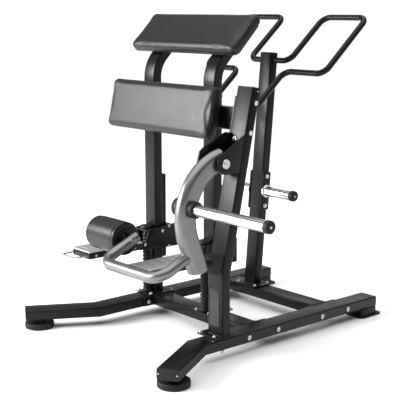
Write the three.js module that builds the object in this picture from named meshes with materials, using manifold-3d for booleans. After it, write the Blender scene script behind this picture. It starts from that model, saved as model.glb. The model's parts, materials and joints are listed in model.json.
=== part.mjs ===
// Plate-loaded standing leg curl: welded box-tube frame, two pads, a swinging arm with an ankle
// roller, and two height-adjustable footplates. Millimetres, +Z up, user faces +Y, X to their right.
import * as THREE from 'three';
import { mergeVertices } from 'three/addons/utils/BufferGeometryUtils.js';
import Module from 'manifold-3d';

const wasm = await Module();
wasm.setup();

// ---- driving dimensions -------------------------------------------------------------------
const GAP = 0.3;                       // air left between pieces that touch
const WALL = 3;                        // box-tube wall
const RAIL = { w: 100, h: 50, top: 110, left: -222, right: 527, rear: 789, bend: -352, run: 348, flare: 30, floor: 14 };
const CROSS = { w: 100, front: 4, rear: 481.5, flange: 112, plate: 8 };
const POST_X = 222.8;                  // half spacing of the two front uprights
const UP = { w: 80, d: 50, front: -19.3, bend: 1195, radius: 150, tilt: 45, run: 190 };
const TIE = { h: 100, d: 50, low: 1000, rightY: -36 };
const COL = { x: 520, w: 99, d: 48, front: -241, bend: 393, top: 1190, lean: 12.1 };
const REAR = { w: 80, d: 50, y: 482, top: 1303, lean: 4.9 };
const PIVOT = { x: 522, y: -225, z: 881 };
const ARM = { w: 60, h: 100, wall: 4, radius: 248, cy: 63, cz: -229, up: 78, down: 22, run: 150 };
const ARM_CUT = { floor: -463, back: -75 };
const HORN = { y: -170, z: -176, r: 25, end: 472 };
const UTUBE = { r: 25, wall: 3, left: -400, bar: -332, z: -457, rise: 24, leg: 212, bend: 68 };
const ROLLER = { r: 77.5, x0: -126, x1: 87, y: -400, z: 499, bore: 13 };
const PAD = { w: 756, r: 26, board: 11.5 };
const LOWER = { y: -147.5, z: 1080, tilt: 12.3, h: 236, t: 60 };
const UPPER = { y: 58, z: 1433.5, tilt: 45, h: 226, t: 50 };
const PLATE = { w: 143, near: -440, far: -122, top: 400, t: 7 };
const STRUT = { y: -44.5, bore: 8.5, rod: 7.5 };
const CARR = { inner: 47, t: 6, rear: 122, top: 471 };
const PEG = { r: 25, z: 605, reach: 232 };
const HANDLE = { r: 15, wall: 2.5, y: 585, z: 1270, rise: 40.5, inner: 143, outer: 427, far: 327, near: -74 };

// ---- materials ----------------------------------------------------------------------------
const mat = (color, roughness, metalness) => new THREE.MeshStandardMaterial({ color, roughness, metalness });
const M = {
  frame: mat(0x1b1b1d, 0.45, 0.35),
  silver: mat(0x8b8886, 0.38, 0.75),
  chrome: mat(0xd9d7d3, 0.14, 1.0),
  alloy: mat(0xc9c6c2, 0.42, 0.85),
  steel: mat(0x9a978f, 0.35, 0.9),
  vinyl: mat(0x17171a, 0.5, 0.0),
  foam: mat(0x242427, 0.75, 0.0),
  rubber: mat(0x121213, 0.85, 0.0),
  plastic: mat(0x161618, 0.55, 0.0),
  board: mat(0x1e1d1c, 0.8, 0.0),
};

// ---- shape helpers ------------------------------------------------------------------------
const rad = THREE.MathUtils.degToRad;
const YZX = new THREE.Matrix4().makeBasis(
  new THREE.Vector3(0, 1, 0), new THREE.Vector3(0, 0, 1), new THREE.Vector3(1, 0, 0));

function closed(geometry) {
  geometry.deleteAttribute('normal');
  geometry.deleteAttribute('uv');
  const g = mergeVertices(geometry, 1e-3);
  const p = g.attributes.position, idx = [];
  let vol = 0;
  const a = new THREE.Vector3(), b = new THREE.Vector3(), c = new THREE.Vector3();
  for (let i = 0; i < g.index.count; i += 3) {
    const [u, v, w] = [0, 1, 2].map((k) => g.index.getX(i + k));
    if (u === v || v === w || w === u) continue;
    vol += a.fromBufferAttribute(p, u).dot(b.fromBufferAttribute(p, v).cross(c.fromBufferAttribute(p, w)));
    idx.push(u, v, w);
  }
  if (vol < 0) for (let i = 0; i < idx.length; i += 3) [idx[i + 1], idx[i + 2]] = [idx[i + 2], idx[i + 1]];
  g.setIndex(idx);
  return g;
}

const solid = (geometry) => {
  const g = closed(geometry);
  return new wasm.Manifold(new wasm.Mesh({
    numProp: 3,
    vertProperties: new Float32Array(g.attributes.position.array),
    triVerts: new Uint32Array(g.index.array),
  }));
};

function toGeometry(part) {
  if (part.isBufferGeometry) part = solid(part);
  const m = part.getMesh();
  const g = new THREE.BufferGeometry();
  g.setAttribute('position', new THREE.BufferAttribute(new Float32Array(m.vertProperties), 3));
  g.setIndex(Array.from(m.triVerts));
  g.computeVertexNormals();
  return g;
}

const add = (group, name, part, material) => {
  const mesh = new THREE.Mesh(toGeometry(part), material);
  mesh.name = name;
  group.add(mesh);
  return mesh;
};

const box = (x0, x1, y0, y1, z0, z1) =>
  solid(new THREE.BoxGeometry(x1 - x0, y1 - y0, z1 - z0).translate((x0 + x1) / 2, (y0 + y1) / 2, (z0 + z1) / 2));

const rod = (r, x0, x1, y, z, seg = 20) =>
  solid(new THREE.CylinderGeometry(r, r, x1 - x0, seg).rotateZ(Math.PI / 2).translate((x0 + x1) / 2, y, z));

const post = (r, x, y, z0, z1, seg = 20) =>
  solid(new THREE.CylinderGeometry(r, r, z1 - z0, seg).rotateX(Math.PI / 2).translate(x, y, (z0 + z1) / 2));

const shapeOf = (pts) => new THREE.Shape(pts.map(([x, y]) => new THREE.Vector2(x, y)));

// outline in Y-Z, thickness along X between x0 and x1
const slabX = (pts, x0, x1) =>
  solid(new THREE.ExtrudeGeometry(shapeOf(pts), { depth: x1 - x0, bevelEnabled: false })
    .translate(0, 0, x0).applyMatrix4(YZX));

// outline in X-Y, thickness along Z between z0 and z1
const slabZ = (pts, z0, z1) =>
  solid(new THREE.ExtrudeGeometry(shapeOf(pts), { depth: z1 - z0, bevelEnabled: false }).translate(0, 0, z0));

function roundRect(w, h, r, seg = 4) {
  const pts = [];
  for (const [sx, sy, a0] of [[1, 1, 0], [-1, 1, 90], [-1, -1, 180], [1, -1, 270]]) {
    for (let i = 0; i <= seg; i++) {
      const a = rad(a0 + (90 * i) / seg);
      pts.push([sx * (w / 2 - r) + r * Math.cos(a), sy * (h / 2 - r) + r * Math.sin(a)]);
    }
  }
  return pts;
}

// offset outline of a bent strip whose centreline is the list of corners
function strip(line, width) {
  const left = [], right = [];
  const dir = (a, b) => { const l = Math.hypot(b[0] - a[0], b[1] - a[1]); return [(b[0] - a[0]) / l, (b[1] - a[1]) / l]; };
  line.forEach((p, i) => {
    const d0 = dir(line[Math.max(i - 1, 0)], line[Math.max(i, 1)]);
    const d1 = i < line.length - 1 ? dir(p, line[i + 1]) : d0;
    const n = [-(d0[1] + d1[1]), d0[0] + d1[0]];
    const k = (width / 2) / ((n[0] * -d0[1] + n[1] * d0[0]) / 1);
    left.push([p[0] + n[0] * k, p[1] + n[1] * k]);
    right.unshift([p[0] - n[0] * k, p[1] - n[1] * k]);
  });
  return [...left, ...right];
}

function stretch(line, by) {
  const out = line.map((p) => [...p]);
  for (const [i, j] of [[0, 1], [line.length - 1, line.length - 2]]) {
    const l = Math.hypot(line[i][0] - line[j][0], line[i][1] - line[j][1]);
    for (const k of [0, 1]) out[i][k] += (line[i][k] - line[j][k]) / l * by;
  }
  return out;
}

// open-ended box tube bent in the Y-Z plane, width w along X about x
const tubeYZ = (line, d, w, x, wall = WALL) =>
  slabX(strip(line, d), x - w / 2, x + w / 2)
    .subtract(slabX(strip(stretch(line, 5), d - 2 * wall), x - w / 2 + wall, x + w / 2 - wall));

// open-ended box tube bent in the X-Y plane between z0 and z1
const tubeXY = (line, w, z0, z1, wall = WALL) =>
  slabZ(strip(line, w), z0, z1).subtract(slabZ(strip(stretch(line, 5), w - 2 * wall), z0 + wall, z1 - wall));

// straight box tube along X
const tubeX = (x0, x1, y, z, d, h, wall = WALL) =>
  box(x0, x1, y - d / 2, y + d / 2, z - h / 2, z + h / 2)
    .subtract(box(x0 - 1, x1 + 1, y - d / 2 + wall, y + d / 2 - wall, z - h / 2 + wall, z + h / 2 - wall));

// a route of straights joined by round bends
class Route extends THREE.Curve {
  constructor(corners, radius, seg = 4) {
    super();
    this.pts = [corners[0].clone()];
    this.tan = [corners[1].clone().sub(corners[0]).normalize()];
    for (let i = 1; i < corners.length - 1; i++) {
      const a = corners[i - 1].clone().sub(corners[i]).normalize();
      const b = corners[i + 1].clone().sub(corners[i]).normalize();
      const half = a.angleTo(b) / 2;
      const r = Array.isArray(radius) ? radius[i - 1] : radius;
      const bis = a.clone().add(b).normalize();
      const c = corners[i].clone().addScaledVector(bis, r / Math.sin(half));
      const n = new THREE.Vector3().crossVectors(a, b).normalize();
      const start = corners[i].clone().addScaledVector(a, r / Math.tan(half)).sub(c);
      const turn = Math.PI - 2 * half;
      for (let k = 0; k <= seg; k++) {
        const q = new THREE.Quaternion().setFromAxisAngle(n, -turn * k / seg);
        this.pts.push(c.clone().add(start.clone().applyQuaternion(q)));
        this.tan.push(a.clone().negate().applyQuaternion(q));
      }
    }
    this.pts.push(corners[corners.length - 1].clone());
    this.tan.push(corners[corners.length - 1].clone().sub(corners[corners.length - 2]).normalize());
  }
  at(t) { return Math.round(t * (this.pts.length - 1)); }
  getPoint(t) { return this.pts[this.at(t)].clone(); }
  getPointAt(t) { return this.getPoint(t); }
  getTangentAt(t) { return this.tan[this.at(t)].clone(); }
  getSpacedPoints() { return this.pts.map((p) => p.clone()); }
}

const sweep = (route, section) =>
  solid(new THREE.ExtrudeGeometry(shapeOf(section), {
    steps: route.pts.length - 1, bevelEnabled: false, extrudePath: route }));

const ring = (r, seg) => Array.from({ length: seg }, (_, i) =>
  [r * Math.cos(2 * Math.PI * i / seg), r * Math.sin(2 * Math.PI * i / seg)]);

// turned piece about the X axis through (y, z); profile is [x, radius] pairs, closed on itself
const turnedX = (profile, y, z, seg = 28) =>
  solid(new THREE.LatheGeometry(profile.map(([x, r]) => new THREE.Vector2(r, x)), seg)
    .rotateZ(-Math.PI / 2).translate(0, y, z));

const turnedZ = (profile, x, y, seg = 28) =>
  solid(new THREE.LatheGeometry(profile.map(([z, r]) => new THREE.Vector2(r, z)), seg)
    .rotateX(Math.PI / 2).translate(x, y, 0));

// ---- base frame ---------------------------------------------------------------------------
const railLine = (x, side) => {
  const a = rad(RAIL.flare), L = RAIL.run - 5;
  return [[x, RAIL.rear - 5], [x, RAIL.bend], [x + side * L * Math.sin(a), RAIL.bend - L * Math.cos(a)]];
};

function rail(group, name, x, side) {
  const line = railLine(x, side), bottom = RAIL.top - RAIL.h;
  const tube = tubeXY(line, RAIL.w, bottom, RAIL.top)
    .subtract(post(8, x, 240, bottom - 1, bottom + WALL + 1, 12));      // drain hole
  add(group, `rail_${name}`, tube, M.frame);
  const cap = () => solid(new THREE.ExtrudeGeometry(shapeOf(roundRect(RAIL.w, RAIL.h, 9, 3)),
    { depth: 5 - GAP, bevelEnabled: false }).rotateX(Math.PI / 2));      // thickness towards -Y
  const rear = add(group, `rail_cap_${name}_rear`, cap(), M.plastic);
  rear.position.set(x, RAIL.rear, RAIL.top - RAIL.h / 2);
  const front = add(group, `rail_cap_${name}_front`, cap(), M.plastic);
  front.position.set(line[2][0], line[2][1], RAIL.top - RAIL.h / 2);
  front.rotation.z = side * rad(RAIL.flare);
  front.translateY(-GAP);
}

function crossMember(group, name, y) {
  const x0 = RAIL.left + RAIL.w / 2 + GAP, x1 = RAIL.right - RAIL.w / 2 - GAP, z = RAIL.top - RAIL.h / 2;
  const flange = (a) => box(a, a + CROSS.plate, y - CROSS.flange, y + CROSS.flange, z - 23, z + 24);
  const tube = tubeX(x0 + 1, x1 - 1, y, z, CROSS.w, RAIL.h)
    .add(flange(x0)).add(flange(x1 - CROSS.plate))
    .subtract(post(8, 60, y, z - 30, z - 20, 12));
  add(group, name, tube, M.frame);
}

function feet(group) {
  const low = RAIL.top - RAIL.h - GAP, f = RAIL.floor;
  for (const [name, x, side] of [['left', RAIL.left, -1], ['right', RAIL.right, 1]]) {
    const s = RAIL.run - 68, a = rad(RAIL.flare);
    add(group, `foot_front_${name}`, turnedZ([[f, 0], [f, 66], [f + 4, 70], [f + 24, 70], [f + 28, 66],
      [f + 28, 30], [low, 30], [low, 0]], x + side * s * Math.sin(a), RAIL.bend - s * Math.cos(a), 28), M.rubber);
    const pad = roundRect(116, 152, 22, 3).map(([u, v]) => [u + x, v + 750]);
    add(group, `foot_rear_${name}`, slabZ(pad, f, f + 9)
      .add(box(x - 50, x + 50, 680, 786, f + 8, low).subtract(box(x - 45, x + 45, 685, 781, f + 9, low + 1)))
      .subtract(post(7, x + 34, 805, f - 1, f + 10, 12)).subtract(post(7, x - 34, 805, f - 1, f + 10, 12)), M.frame);
  }
}

// ---- uprights -----------------------------------------------------------------------------
function uprightLine() {
  const y = UP.front + UP.d / 2, line = [[y, RAIL.top + 6], [y, UP.bend]], n = 6;
  for (let i = 1; i <= n; i++) {
    const a = rad(UP.tilt * i / n);
    line.push([y + UP.radius * (1 - Math.cos(a)), UP.bend + UP.radius * Math.sin(a)]);
  }
  const [ey, ez] = line[line.length - 1], a = rad(UP.tilt);
  line.push([ey + UP.run * Math.sin(a), ez + UP.run * Math.cos(a)]);
  return line;
}

function upright(group, name, x) {
  const z = RAIL.top + GAP;
  const body = tubeYZ(uprightLine(), UP.d, UP.w, x)
    .add(box(x - 58, x + 58, -68, 87, z, z + 6))
    .subtract(box(x - 30, x + 30, -12, 24, z - 1, z + 8));
  add(group, `upright_${name}`, body, M.frame);
}

function indexBar(group, name, x) {
  const y0 = UP.front + UP.d + GAP;
  let bar = box(x - 20, x + 20, y0, y0 + 35, 290, 713).subtract(box(x - 16, x + 16, y0 - 1, y0 + 31, 285, 720));
  for (let z = 320; z < 700; z += 50) {
    bar = bar.subtract(solid(new THREE.CylinderGeometry(7, 7, 12, 8).translate(x, y0 + 33, z)));
  }
  add(group, `index_bar_${name}`, bar, M.frame);
}

// ribbed boot of the lift strut, bored for the strut's rod
function boot(group, name, x) {
  const prof = [[116.8, STRUT.bore], [116.8, 16], [122, 21], [136, 21]];
  for (let z = 158; z < 430; z += 36) prof.push([z - 13, 16], [z - 6, 22], [z + 6, 22], [z + 13, 16]);
  prof.push([438, 16], [438, STRUT.bore], [116.8, STRUT.bore]);
  add(group, `strut_boot_${name}`, turnedZ(prof, x, STRUT.y, 14), M.rubber);
}

function ties(group) {
  const z = TIE.low + TIE.h / 2, side = POST_X - UP.w / 2 - GAP, face = COL.x - COL.w / 2 - GAP;
  add(group, 'tie_middle', tubeX(-side, side, UP.front + UP.d / 2, z, TIE.d, TIE.h), M.frame);
  const plate = slabX([[columnFront(983) - 3, 983], [-6, 983], [-6, 1120], [columnFront(1160) + COL.d, 1160],
    [columnFront(1160) - 3, 1160]], face - 8, face);
  add(group, 'tie_right', tubeX(POST_X + UP.w / 2 + GAP, face - 7, TIE.rightY, z, TIE.d, TIE.h).add(plate), M.frame);
}

// ---- slanted main column with the pivot plates ----------------------------------------------
const columnFront = (z) => COL.front + Math.max(0, (z - COL.bend) * Math.tan(rad(COL.lean))
  - (COL.d / 2) * (1 / Math.cos(rad(COL.lean)) - 1));

function column(group) {
  const y = COL.front + COL.d / 2, t = Math.tan(rad(COL.lean)), z0 = RAIL.top + GAP;
  const line = [[y, z0 + 1], [y, COL.bend], [y + (COL.top - COL.bend) * t, COL.top]];
  const body = tubeYZ(line, COL.d, COL.w, COL.x)
    .add(box(COL.x - 83, COL.x + 55, -275, -165, z0, z0 + 8))
    .subtract(box(COL.x - 30, COL.x + 30, COL.front + 8, COL.front + COL.d - 8, z0 - 1, z0 + 10));
  add(group, 'main_column', body, M.frame);
  const cap = add(group, 'column_cap', slabZ(roundRect(COL.w, COL.d, 8, 3), GAP, 6), M.plastic);
  cap.position.set(COL.x, y + (COL.top - COL.bend) * t, COL.top);
  cap.rotation.x = -rad(COL.lean);
  const edge = (z) => [columnFront(z) - GAP, z];
  const lobe = (from, to, r) => Array.from({ length: 9 }, (_, i) => {
    const a = rad(from + (to - from) * i / 8);
    return [PIVOT.y + r * Math.cos(a), PIVOT.z + r * Math.sin(a)];
  });
  const half = COL.w / 2, hole = rod(13, 400, 640, PIVOT.y, PIVOT.z, 20);
  const outer = slabX([edge(998), ...lobe(115, 250, 46), [-225, 835], edge(835)], COL.x + half - 8, COL.x + half);
  const inner = slabX([edge(999), [-142, 1003], [-262, 952], [-292, 930], [-304, 885], ...lobe(200, 260, 52),
    [-215, 829], edge(830)], COL.x - half, COL.x - half + 8);
  add(group, 'pivot_plate_outer', outer.subtract(hole), M.frame);
  add(group, 'pivot_plate_inner', inner.subtract(hole), M.frame);
  add(group, 'pivot_pin', turnedX([[-60, 0], [-60, 21], [-49.8, 21], [-49.8, 12.5], [49.8, 12.5], [49.8, 21],
    [57, 21], [59, 18], [59, 0]].map(([x, r]) => [x + COL.x, r]), PIVOT.y, PIVOT.z, 20), M.steel);
}

function stopPad(group) {
  const back = (z) => [columnFront(z) - GAP, z], face = PIVOT.y + ARM_CUT.back + GAP;
  add(group, 'stop_pad', slabX([[face, 402], back(402), back(484), [face + 14, 484], [face, 470]], 482, 562), M.rubber);
}

// ---- rear post, storage pegs, handles -------------------------------------------------------
function rearPost(group) {
  const z0 = RAIL.top + GAP, t = Math.tan(rad(REAR.lean));
  const line = [[REAR.y, z0 + 4], [REAR.y + (REAR.top - z0) * t, REAR.top]];
  const body = tubeYZ(line, REAR.d, REAR.w, 0)
    .add(box(-78, 78, REAR.y - 62, REAR.y + 62, z0, z0 + 8))
    .subtract(box(-28, 28, REAR.y - 15, REAR.y + 15, z0 - 1, z0 + 10));
  add(group, 'rear_post', body, M.frame);
  const cap = add(group, 'post_cap', slabZ(roundRect(REAR.w, REAR.d, 8, 3), GAP, 6), M.plastic);
  cap.position.set(0, line[1][0], REAR.top);
  cap.rotation.x = -rad(REAR.lean);
}

function pegs(group) {
  const y = REAR.y + (PEG.z - RAIL.top) * Math.tan(rad(REAR.lean));
  for (const [name, s] of [['left', -1], ['right', 1]]) {
    const x0 = REAR.w / 2 + GAP, sub = new THREE.Group();
    sub.rotation.z = s < 0 ? Math.PI : 0;
    sub.position.y = y;
    const tilt = rad(REAR.lean), half = 98;
    const slant = (h, d) => [s * (d * Math.cos(tilt) + h * Math.sin(tilt)), PEG.z + h * Math.cos(tilt) - d * Math.sin(tilt)];
    add(sub, `peg_plate_${name}`, slabX([slant(-half, -27), slant(-half, 27), slant(half, 27), slant(half, -27)],
      x0, x0 + 8), M.frame);
    const a = x0 + 8 + GAP;
    add(sub, `storage_peg_${name}`, turnedX([[a, 0], [a, 32], [a + 8, 32], [a + 8, PEG.r], [PEG.reach, PEG.r],
      [PEG.reach, 0]], 0, PEG.z, 22), M.chrome);
    add(sub, `peg_cap_${name}`, turnedX([[PEG.reach + GAP, 0], [PEG.reach + GAP, PEG.r + 2],
      [PEG.reach + 20, PEG.r + 2], [PEG.reach + 24, PEG.r - 3], [PEG.reach + 24, 0]], 0, PEG.z, 22), M.rubber);
    group.add(sub);
  }
}

function handle(group, name, s) {
  const a = rad(HANDLE.rise), x0 = REAR.w / 2 + GAP, H = HANDLE;
  const P = (x, d) => new THREE.Vector3(s * x, H.y + d * Math.cos(a), H.z + d * Math.sin(a));
  const route = (past) => {
    const low = P(165, -392);
    return new Route([P(x0 - past, 0), P(H.inner, 0), P(H.inner, H.far), P(H.outer, H.far), P(H.outer, H.near),
      P(165, H.near), low, new THREE.Vector3(low.x, UP.front + UP.d + GAP - past, low.z)], 48, 3);
  };
  add(group, `handle_${name}`, sweep(route(0), ring(H.r, 10)).subtract(sweep(route(4), ring(H.r - H.wall, 8))), M.frame);
}

// ---- pads ---------------------------------------------------------------------------------
function pad(group, name, p) {
  const sub = new THREE.Group();
  sub.position.set(0, p.y, p.z);
  sub.rotation.x = -rad(p.tilt);
  const outline = roundRect(PAD.w, p.h, PAD.r, 4);
  const cushion = solid(new THREE.ExtrudeGeometry(shapeOf(roundRect(PAD.w - 24, p.h - 24, PAD.r - 12, 4)),
    { depth: p.t - 24, bevelEnabled: true, bevelThickness: 12, bevelSize: 12, bevelSegments: 3 })
    .rotateX(Math.PI / 2).translate(0, p.t - 12, 0));
  add(sub, `${name}_pad`, cushion, M.vinyl);
  const board = solid(new THREE.ExtrudeGeometry(shapeOf(outline.map(([x, y]) => [x * 0.96, y * 0.86])),
    { depth: PAD.board, bevelEnabled: false }).rotateX(Math.PI / 2).translate(0, p.t + GAP + PAD.board, 0));
  add(sub, `${name}_pad_board`, board, M.board);
  group.add(sub);
}

function padBracket(group, name, x) {
  const t = rad(LOWER.tilt), back = LOWER.t + PAD.board + 2 * GAP;
  const B = (h) => [LOWER.y + h * Math.sin(t) + back * Math.cos(t), LOWER.z + h * Math.cos(t) - back * Math.sin(t)];
  const y1 = UP.front - GAP, lo = B(-75), hi = B(75);
  add(group, `pad_bracket_${name}`, slabX([lo, [y1, lo[1] + 8], [y1, hi[1] - 8], hi], x - 28, x + 28)
    .subtract(slabX([[lo[0] + 8, lo[1] + 16], [y1 + 1, lo[1] + 16], [y1 + 1, hi[1] - 16], [hi[0] + 8, hi[1] - 16]],
      x - 22, x + 29)), M.frame);
}

// ---- footplate carriage (about its own upright's centre plane) -------------------------------
function carriage(group, name, x) {
  const sub = new THREE.Group();
  sub.position.x = x;
  const a = CARR.inner, b = a + CARR.t, half = PLATE.w / 2, top = PLATE.top - PLATE.t - GAP;
  const side = [[CARR.rear, 336], [CARR.rear, CARR.top], [-79, 463], [-86, top - 6], [PLATE.far - 20, top - 6],
    [PLATE.far - 20, 352], [-70, 341]];
  const tray = box(-half + 1, half - 1, PLATE.near + 3, PLATE.far, 362, top)
    .subtract(box(-half + 4, half - 4, PLATE.near + 6, PLATE.far - 3, 360, top - 3));
  let body = tray
    .add(slabX(side, a, b)).add(slabX(side, -b, -a))
    .add(rod(8, -a - 1, a + 1, 100, 445, 12)).add(rod(8, -a - 1, a + 1, 100, 362, 12))
    .add(box(-a - 1, a + 1, -76, -22, 440.5, 447.5)).subtract(post(8.5, 0, STRUT.y, 439, 449, 14))
    .add(box(-a - 1, a + 1, PLATE.far - 16, PLATE.far - 3, 355, top - 2));
  for (const s of [-1, 1]) {
    body = body.subtract(box(s > 0 ? 55.5 : -half + 2, s > 0 ? half - 2 : -55.5, PLATE.near, PLATE.near + 9, 372, top - 3.5));
    body = body.add(box(s > 0 ? 45 : -51, s > 0 ? 51 : -45, PLATE.near + 14, PLATE.near + 46, 364, top - 2));
  }
  body = body.subtract(rod(5.5, -52, 52, PLATE.near + 30, 378, 12));
  add(sub, `carriage_${name}`, body, M.frame);

  let plate = slabZ(roundRect(PLATE.w, PLATE.far - PLATE.near, 6, 3)
    .map(([u, v]) => [u, v + (PLATE.far + PLATE.near) / 2]), PLATE.top - PLATE.t, PLATE.top);
  for (let i = 0; i < 6; i++) {
    const y = PLATE.near + 32 + i * 51;
    plate = plate.subtract(box(-46, 46, y - 3.5, y + 3.5, PLATE.top - 4, PLATE.top + 1));
  }
  add(sub, `footplate_${name}`, plate, M.alloy);

  const y0 = PLATE.near + 22, y1 = -522, u = half - 4.5;
  const lever = slabZ([[-u, y0], [-u, y1 + 20], [-u + 20, y1], [u - 20, y1], [u, y1 + 20], [u, y0], [u - 11, y0], [u - 11, y1 + 14], [-u + 11, y1 + 14],
    [-u + 11, y0]], 375, 381).add(box(-u, -u + 11, y0 - 1, y0 + 16, 374, 382)).add(box(u - 11, u, y0 - 1, y0 + 16, 374, 382))
    .add(rod(5, -u + 5, u - 5, PLATE.near + 30, 378, 12));
  add(sub, `release_lever_${name}`, lever, M.chrome);

  add(sub, `strut_cap_${name}`, turnedZ([[160, 0], [160, STRUT.rod], [447.8, STRUT.rod], [447.8, 30],
    [459, 32], [463, 28], [463, 0]], 0, STRUT.y, 20)
    .subtract(box(-40, 40, UP.front - GAP, 0, 440, 470)), M.plastic);
  group.add(sub);
}

// ---- swinging arm (about the pivot axis) ----------------------------------------------------
function armSolid(grow) {
  const w = ARM.w + 2 * grow, h = ARM.h + 2 * grow, seg = grow < 0 ? 3 : 6, pts = [];
  for (const s of [1, -1]) for (let i = 0; i <= seg; i++) {
    const a = rad(180 * i / seg);
    pts.push([s * (w / 2) * Math.cos(a), s * (h / 2 - w / 2 + (w / 2) * Math.sin(a))]);
  }
  const route = new Route([new THREE.Vector3(), new THREE.Vector3(0, 0, 1)], 1);
  const at = (deg) => { const a = rad(deg); return [ARM.cy - ARM.radius * Math.cos(a), ARM.cz + ARM.radius * Math.sin(a)]; };
  route.pts = []; route.tan = [];
  const n = 11;
  for (let i = 0; i <= n; i++) {
    const d = ARM.up - (ARM.up + ARM.down) * i / n, [y, z] = at(d), a = rad(d);
    route.pts.push(new THREE.Vector3(0, y, z));
    route.tan.push(new THREE.Vector3(0, -Math.sin(a), -Math.cos(a)));
  }
  const [y, z] = at(-ARM.down), a = rad(ARM.down);
  route.pts.push(new THREE.Vector3(0, y + ARM.run * Math.sin(a), z - ARM.run * Math.cos(a)));
  route.tan.push(new THREE.Vector3(0, Math.sin(a), -Math.cos(a)));
  if (grow < 0) {
    const first = route.pts[0], last = route.pts[route.pts.length - 1];
    first.addScaledVector(route.tan[0], -8);
    last.addScaledVector(route.tan[route.tan.length - 1], 8);
  }
  return sweep(route, pts);
}

function uTubeRoute(extra) {
  const a = rad(UTUBE.rise);
  const leg = (x, d) => new THREE.Vector3(x, UTUBE.bar + d * Math.cos(a), UTUBE.z + d * Math.sin(a));
  return new Route([leg(UTUBE.left, UTUBE.leg + extra), leg(UTUBE.left, 0), leg(0, 0), leg(0, 240)], UTUBE.bend, 5);
}

function arm(group) {
  const sub = new THREE.Group();
  sub.position.set(PIVOT.x, PIVOT.y, PIVOT.z);
  const shell = armSolid(0);
  const trim = box(-60, 60, -400, 100, -600, ARM_CUT.floor).add(box(-60, 60, ARM_CUT.back, 60, -600, -360));
  const bore = rod(13.2, -60, 60, 0, 0, 24);
  const hornBore = rod(HORN.r + GAP, -60, 60, HORN.y, HORN.z, 28);
  const body = shell.subtract(armSolid(-ARM.wall)).subtract(trim)
    .add(rod(30, -42, 36, 0, 0, 28))
    .subtract(bore).subtract(hornBore);
  add(sub, 'swing_arm', body, M.silver);

  const tube = sweep(uTubeRoute(0), ring(UTUBE.r, 16)).subtract(sweep(uTubeRoute(4), ring(UTUBE.r - UTUBE.wall, 10)));
  const ry = ROLLER.y - PIVOT.y, rz = ROLLER.z - PIVOT.z, rx = UTUBE.left;
  add(sub, 'u_tube', tube.subtract(armSolid(GAP)).subtract(rod(12 + GAP, rx - 60, rx + 60, ry, rz, 20)), M.silver);

  const w = ARM.w / 2;
  add(sub, 'weight_horn', rod(HORN.r, -w - 20, HORN.end, HORN.y, HORN.z, 28), M.chrome);
  add(sub, 'horn_collar', turnedX([[w + GAP, HORN.r + GAP], [w + GAP, 33], [w + 4, 36], [w + 26, 36],
    [w + 30, 32], [w + 30, HORN.r + GAP], [w + GAP, HORN.r + GAP]], HORN.y, HORN.z, 24), M.rubber);
  add(sub, 'horn_cap', turnedX([[HORN.end + GAP, 0], [HORN.end + GAP, 27], [HORN.end + 21, 27],
    [HORN.end + 25, 22], [HORN.end + 25, 0]], HORN.y, HORN.z, 24), M.rubber);
  add(sub, 'arm_bumper', turnedX([[-w - GAP, HORN.r + GAP], [-w - GAP, 38], [-w - 8, 42], [-w - 28, 42],
    [-w - 34, 38], [-w - 34, 0], [-w - 20.3, 0], [-w - 20.3, HORN.r + GAP], [-w - GAP, HORN.r + GAP]],
  HORN.y, HORN.z, 24), M.rubber);

  const x0 = ROLLER.x0 - PIVOT.x, x1 = ROLLER.x1 - PIVOT.x;
  add(sub, 'roller_shaft', turnedX([[x0 - 12, 0], [x0 - 12, 17], [x0 - 4.5, 17], [x0 - 4.5, 12], [rx + UTUBE.r + GAP, 12],
    [rx + UTUBE.r + GAP, 17.5], [rx + UTUBE.r + 3.4, 17.5], [rx + UTUBE.r + 3.4, 0]], ry, rz, 20), M.silver);
  const e = 18;
  add(sub, 'ankle_roller', turnedX([[x0 + e + GAP, ROLLER.bore], [x0 + e + GAP, ROLLER.r - 3], [x0 + e + 4, ROLLER.r],
    [x1 - e - 4, ROLLER.r], [x1 - e - GAP, ROLLER.r - 3], [x1 - e - GAP, ROLLER.bore],
    [x0 + e + GAP, ROLLER.bore]], ry, rz, 28), M.foam);
  for (const [name, a, b] of [['left', x0 + e, x0], ['right', x1 - e, x1]]) {
    const s = Math.sign(b - a);
    add(sub, `roller_cap_${name}`, turnedX([[a, ROLLER.bore], [a, ROLLER.r - 1], [b - 4 * s, ROLLER.r - 1],
      [b, ROLLER.r - 5], [b, 52], [b - 6 * s, 50], [b - 6 * s, 20], [b - 2 * s, 18], [b - 2 * s, ROLLER.bore],
      [a, ROLLER.bore]], ry, rz, 24), M.plastic);
  }
  group.add(sub);
}

// ---- assembly -----------------------------------------------------------------------------
const body = new THREE.Group();
rail(body, 'left', RAIL.left, -1);
rail(body, 'right', RAIL.right, 1);
crossMember(body, 'cross_front', CROSS.front);
crossMember(body, 'cross_rear', CROSS.rear);
feet(body);
for (const [name, s] of [['left', -1], ['right', 1]]) {
  upright(body, name, s * POST_X);
  indexBar(body, name, s * POST_X);
  boot(body, name, s * POST_X);
  padBracket(body, name, s * POST_X);
  carriage(body, name, s * POST_X);
  handle(body, name, s);
}
ties(body);
column(body);
stopPad(body);
rearPost(body);
pegs(body);
pad(body, 'lower', LOWER);
pad(body, 'upper', UPPER);
arm(body);

// origin on the floor under the middle of the machine's bounding box
body.updateMatrixWorld(true);
const bounds = new THREE.Box3().setFromObject(body);
const mid = bounds.getCenter(new THREE.Vector3());
body.position.set(-mid.x, -mid.y, -bounds.min.z);

const part = new THREE.Group();
part.name = 'standing_leg_curl';
part.add(body);
export default part;
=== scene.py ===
import json
import math
import random

import bmesh
import bpy
from mathutils import Matrix, Quaternion, Vector
from mathutils.bvhtree import BVHTree
from mathutils.geometry import tessellate_polygon


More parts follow.
